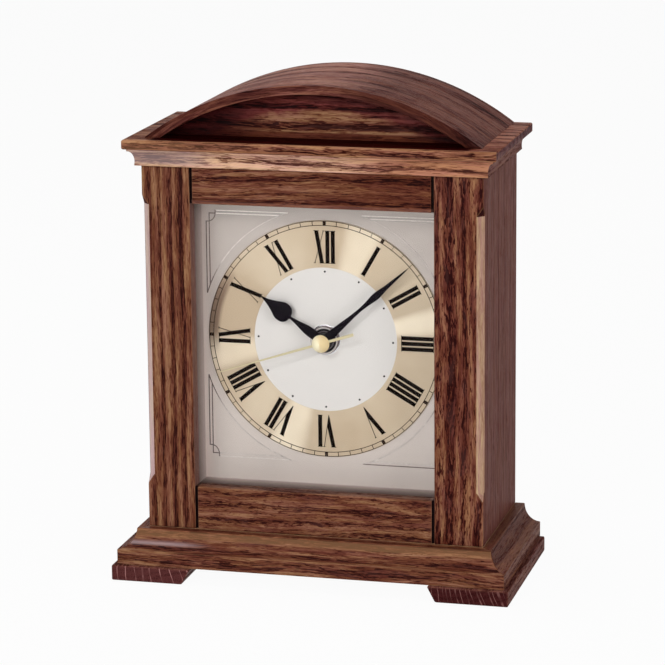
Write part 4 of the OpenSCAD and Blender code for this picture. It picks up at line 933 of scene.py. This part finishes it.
def screwGrid(v, x, z, turn):
    # the head's height falls from the dome to the rim with the square of the radius, less the recess, whose
    # depth rises over a short slope from each edge of the cross; then come rim, seat, pin and tip
    radius = np.concatenate([np.linspace(0, 1.3, 20), np.linspace(1.38, v["head"], 8), [v["head"]],
                             [v["pin"], v["pin"], v["pin"] * 0.4, 0]])[:, None]
    top = v["seat"] + v["rim"] + (v["dome"] - v["rim"]) * (1 - (radius[:28, 0] / v["head"]) ** 2)
    height = np.concatenate([top, [v["seat"], v["seat"], v["tip"] + 1, v["tip"], v["tip"]]])[:, None]
    angle = np.linspace(0, 2 * np.pi, v["steps"], endpoint=False)
    off = np.minimum(abs(radius * np.cos(angle)), abs(radius * np.sin(angle)))
    inside = np.clip((v["slotHalf"] - off) / v["slotSlope"] + 0.5, 0, 1)
    inside *= np.clip((v["slotReach"] - radius) / v["slotSlope"], 0, 1)
    inside[28:] = 0
    turned = angle + math.radians(turn)
    depth = height - v["slotDepth"] * inside
    return np.stack([x + radius * np.cos(turned), depth, z + radius * np.sin(turned)], axis=2)


def makeScrews(v):
    meshes = [gridMesh("screw", screwGrid(v, x, z, turn)) for (x, z), turn in zip(v["places"], v["turns"])]
    shape = bmesh.new()
    for mesh in meshes:
        shape.from_mesh(mesh)
    shape.to_mesh(meshes[0])
    shape.free()
    dress(newObject("screw_heads", meshes[0]), "clock_case", "steel", finishes["steel"], "back_screws")


# Battery: a plain wrapped cell, its wrap turned in at both ends, with a bright positive end
cell = dict(middle=(5.6, 99.9), start=-25.0, end=25.0, radius=7.1, nubRadius=2.7, bandStart=14.0,
            dark=paint(52, 58, 68), pale=paint(182, 184, 186), steel=paint(196, 196, 198), steps=72)


def makeCell(v):
    # a profile of (x, radius) carried round the cell's own axis
    profile = np.array([(v["start"], 0), (v["start"], 4.6), (v["start"] + 0.3, 4.9), (v["start"] + 0.3, 5.8),
                        (v["start"], 6.2), (v["start"] + 0.15, 6.8), (v["start"] + 0.6, v["radius"]),
                        (v["end"] - 1.9, v["radius"]), (v["end"] - 1.4, 6.8), (v["end"] - 1.2, 6.2),
                        (v["end"] - 1.6, 5.7), (v["end"] - 1.6, 3.2), (v["end"] - 1.3, v["nubRadius"]),
                        (v["end"] - 0.25, v["nubRadius"]), (v["end"], v["nubRadius"] - 0.3), (v["end"], 0)])
    angle = np.linspace(0, 2 * np.pi, v["steps"], endpoint=False)
    y = v["middle"][0] + profile[:, 1:] * np.cos(angle)
    z = v["middle"][1] + profile[:, 1:] * np.sin(angle)
    x = np.broadcast_to(profile[:, :1], y.shape)
    piece = newObject("wrapped_cell", gridMesh("wrapped_cell", np.stack([x, y, z], axis=2)))
    material, shader, place = newMaterial("cell_wrap")
    part = axes(place)
    high = minus(part[2], v["middle"][1] * mm)
    deep = minus(part[1], v["middle"][0] * mm)
    radius = distance(high, deep)
    band = remap(part[0], v["bandStart"] * mm, (v["bandStart"] + 0.1) * mm)
    colour = blendColour(band, v["dark"], v["pale"])
    bare = remap(radius, 5.7 * mm, 5.8 * mm, 1.0, 0.0)
    colour = blendColour(bare, colour, v["steel"])
    speck = noise(place, 700, 2.0, 0.5)
    coat(shader, colour, spread(speck, 0.26, 0.36), metal=bare)
    dress(piece, "battery", "cell_wrap", material, "battery")


# Movement: eased mouldings, a raised frame and ring on the cover, a turning arrow and the battery's signs
moulding = dict(face=12.8, proud=0.25, halfWidth=0.3, knob=(10.39, 125.1), ring=7.6, arrow=10.2,
                arrowSpan=(300, 60), frame=(-26.4, 26.4, 110.6, 145.6), plus=(23.4, 112.9),
                minus=(-23.4, 112.9), signHalf=1.3, barb=32, barbLong=2.4)


def arcPath(middle, radius, angles):
    return [(middle[0] + radius * math.sin(a), middle[1] + radius * math.cos(a), 0) for a in angles]


def makeMovement(v):
    for node, width in (("movement_case", 0.3), ("movement_cover", 0.3), ("setting_knob", 0.15)):
        body = "motion" if node == "setting_knob" else "clock_case"
        dress(easedCopy("moulded_" + node, node, width * mm), body, "case_plastic", finishes["plastic"], node)
    x0, x1, z0, z1 = v["frame"]
    corner = [(x0, z0), (x1, z0), (x1, z1), (x0, z1), (x0, z0)]
    paths = [[(x, z, 0) for x, z in corner[k:k + 2]] for k in range(4)]
    turn = np.radians(np.linspace(0, 360, 61))
    paths.append(arcPath(v["knob"], v["ring"], turn))
    start, span = np.radians(v["arrowSpan"])
    turn = start + np.linspace(0, 2 * span, 25)
    paths.append(arcPath(v["knob"], v["arrow"], turn))
    tip = paths[-1][-1]
    for lean in (-v["barb"], v["barb"]):
        aim = turn[-1] - math.pi / 2 + math.radians(lean)
        paths.append([tip, *arcPath(tip, v["barbLong"], [aim])])
    for sign, bars in (("plus", 2), ("minus", 1)):
        x, z = v[sign]
        paths.append([(x - v["signHalf"], z, 0), (x + v["signHalf"], z, 0)])
        if bars == 2:
            paths.append([(x, z - v["signHalf"], 0), (x, z + v["signHalf"], 0)])
    piece = makeRibbons("cover_marks", paths, v["halfWidth"], v["face"] - 0.05, v["face"] + v["proud"])
    turnOutwards(piece.data)
    dress(piece, "clock_case", "case_plastic", finishes["mark"])


makeScrews(screws)
makeCell(cell)
makeMovement(moulding)
print("stage: back details made")


# Studio: a pale floor, a white surround for the eye, for gloss and for glass, and soft lamps
studio = dict(floorHalf=3000, floorTone=(0.62, 0.62, 0.62), whiteShare=0.95, surround=0.24,
              aim=(0, 0, 0.12))
# each lamp's place, size and power
lamps = {
    "front": ((-0.1, -2.1, 0.5), 1.0, 14),
    "frontLeft": ((-0.42, -1.75, 1.05), 0.45, 10),
    "frontRight": ((1.3, -1.1, 0.6), 0.7, 8),
    "above": ((-0.1, -0.05, 1.7), 0.8, 10),
    "left": ((-1.5, 0.1, 0.5), 0.8, 5),
    "right": ((1.6, -0.25, 0.5), 0.7, 3),
}


def makeStudio():
    corners = np.array([(-1, -1, 0), (1, -1, 0), (1, 1, 0), (-1, 1, 0)]) * studio["floorHalf"]
    floor = newObject("floor", newMesh("floor", corners, np.array([(0, 1, 2, 3)])))
    floor.location.z = -0.0002
    material, shader = newMaterial("pale_floor")[:2]
    tree = material.node_tree
    coat(shader, studio["floorTone"], 0.8, 0.1)
    white = addNode("Emission", {0: (1, 1, 1), 1: 1.0}, tree)
    mixToOutput(times(seenDirectly(tree), studio["whiteShare"]), shader, white)
    floor.data.materials.append(material)
    world = bpy.data.worlds.new("studio")
    world.use_nodes = True
    tree = world.node_tree
    tree.nodes.clear()
    power = remap(seenDirectly(tree), 0.0, 1.0, studio["surround"], 1.0, smooth=False)
    light = addNode("Background", {0: (1, 1, 1), 1: power})
    addNode("OutputWorld", {0: light.outputs[0]})
    bpy.context.scene.world = world
    for name, (place, size, power) in lamps.items():
        lamp = bpy.data.lights.new(name, "AREA")
        lamp.shape = "DISK"
        lamp.size = size
        lamp.energy = power
        holder = newObject(name, lamp)
        away = Vector(place) - Vector(studio["aim"])
        turn = away.to_track_quat("Z", "Y").to_matrix().to_4x4()
        holder.matrix_world = Matrix.Translation(place) @ turn
    bpy.context.scene.view_settings.view_transform = "Standard"


makeStudio()
print("stage: studio made")
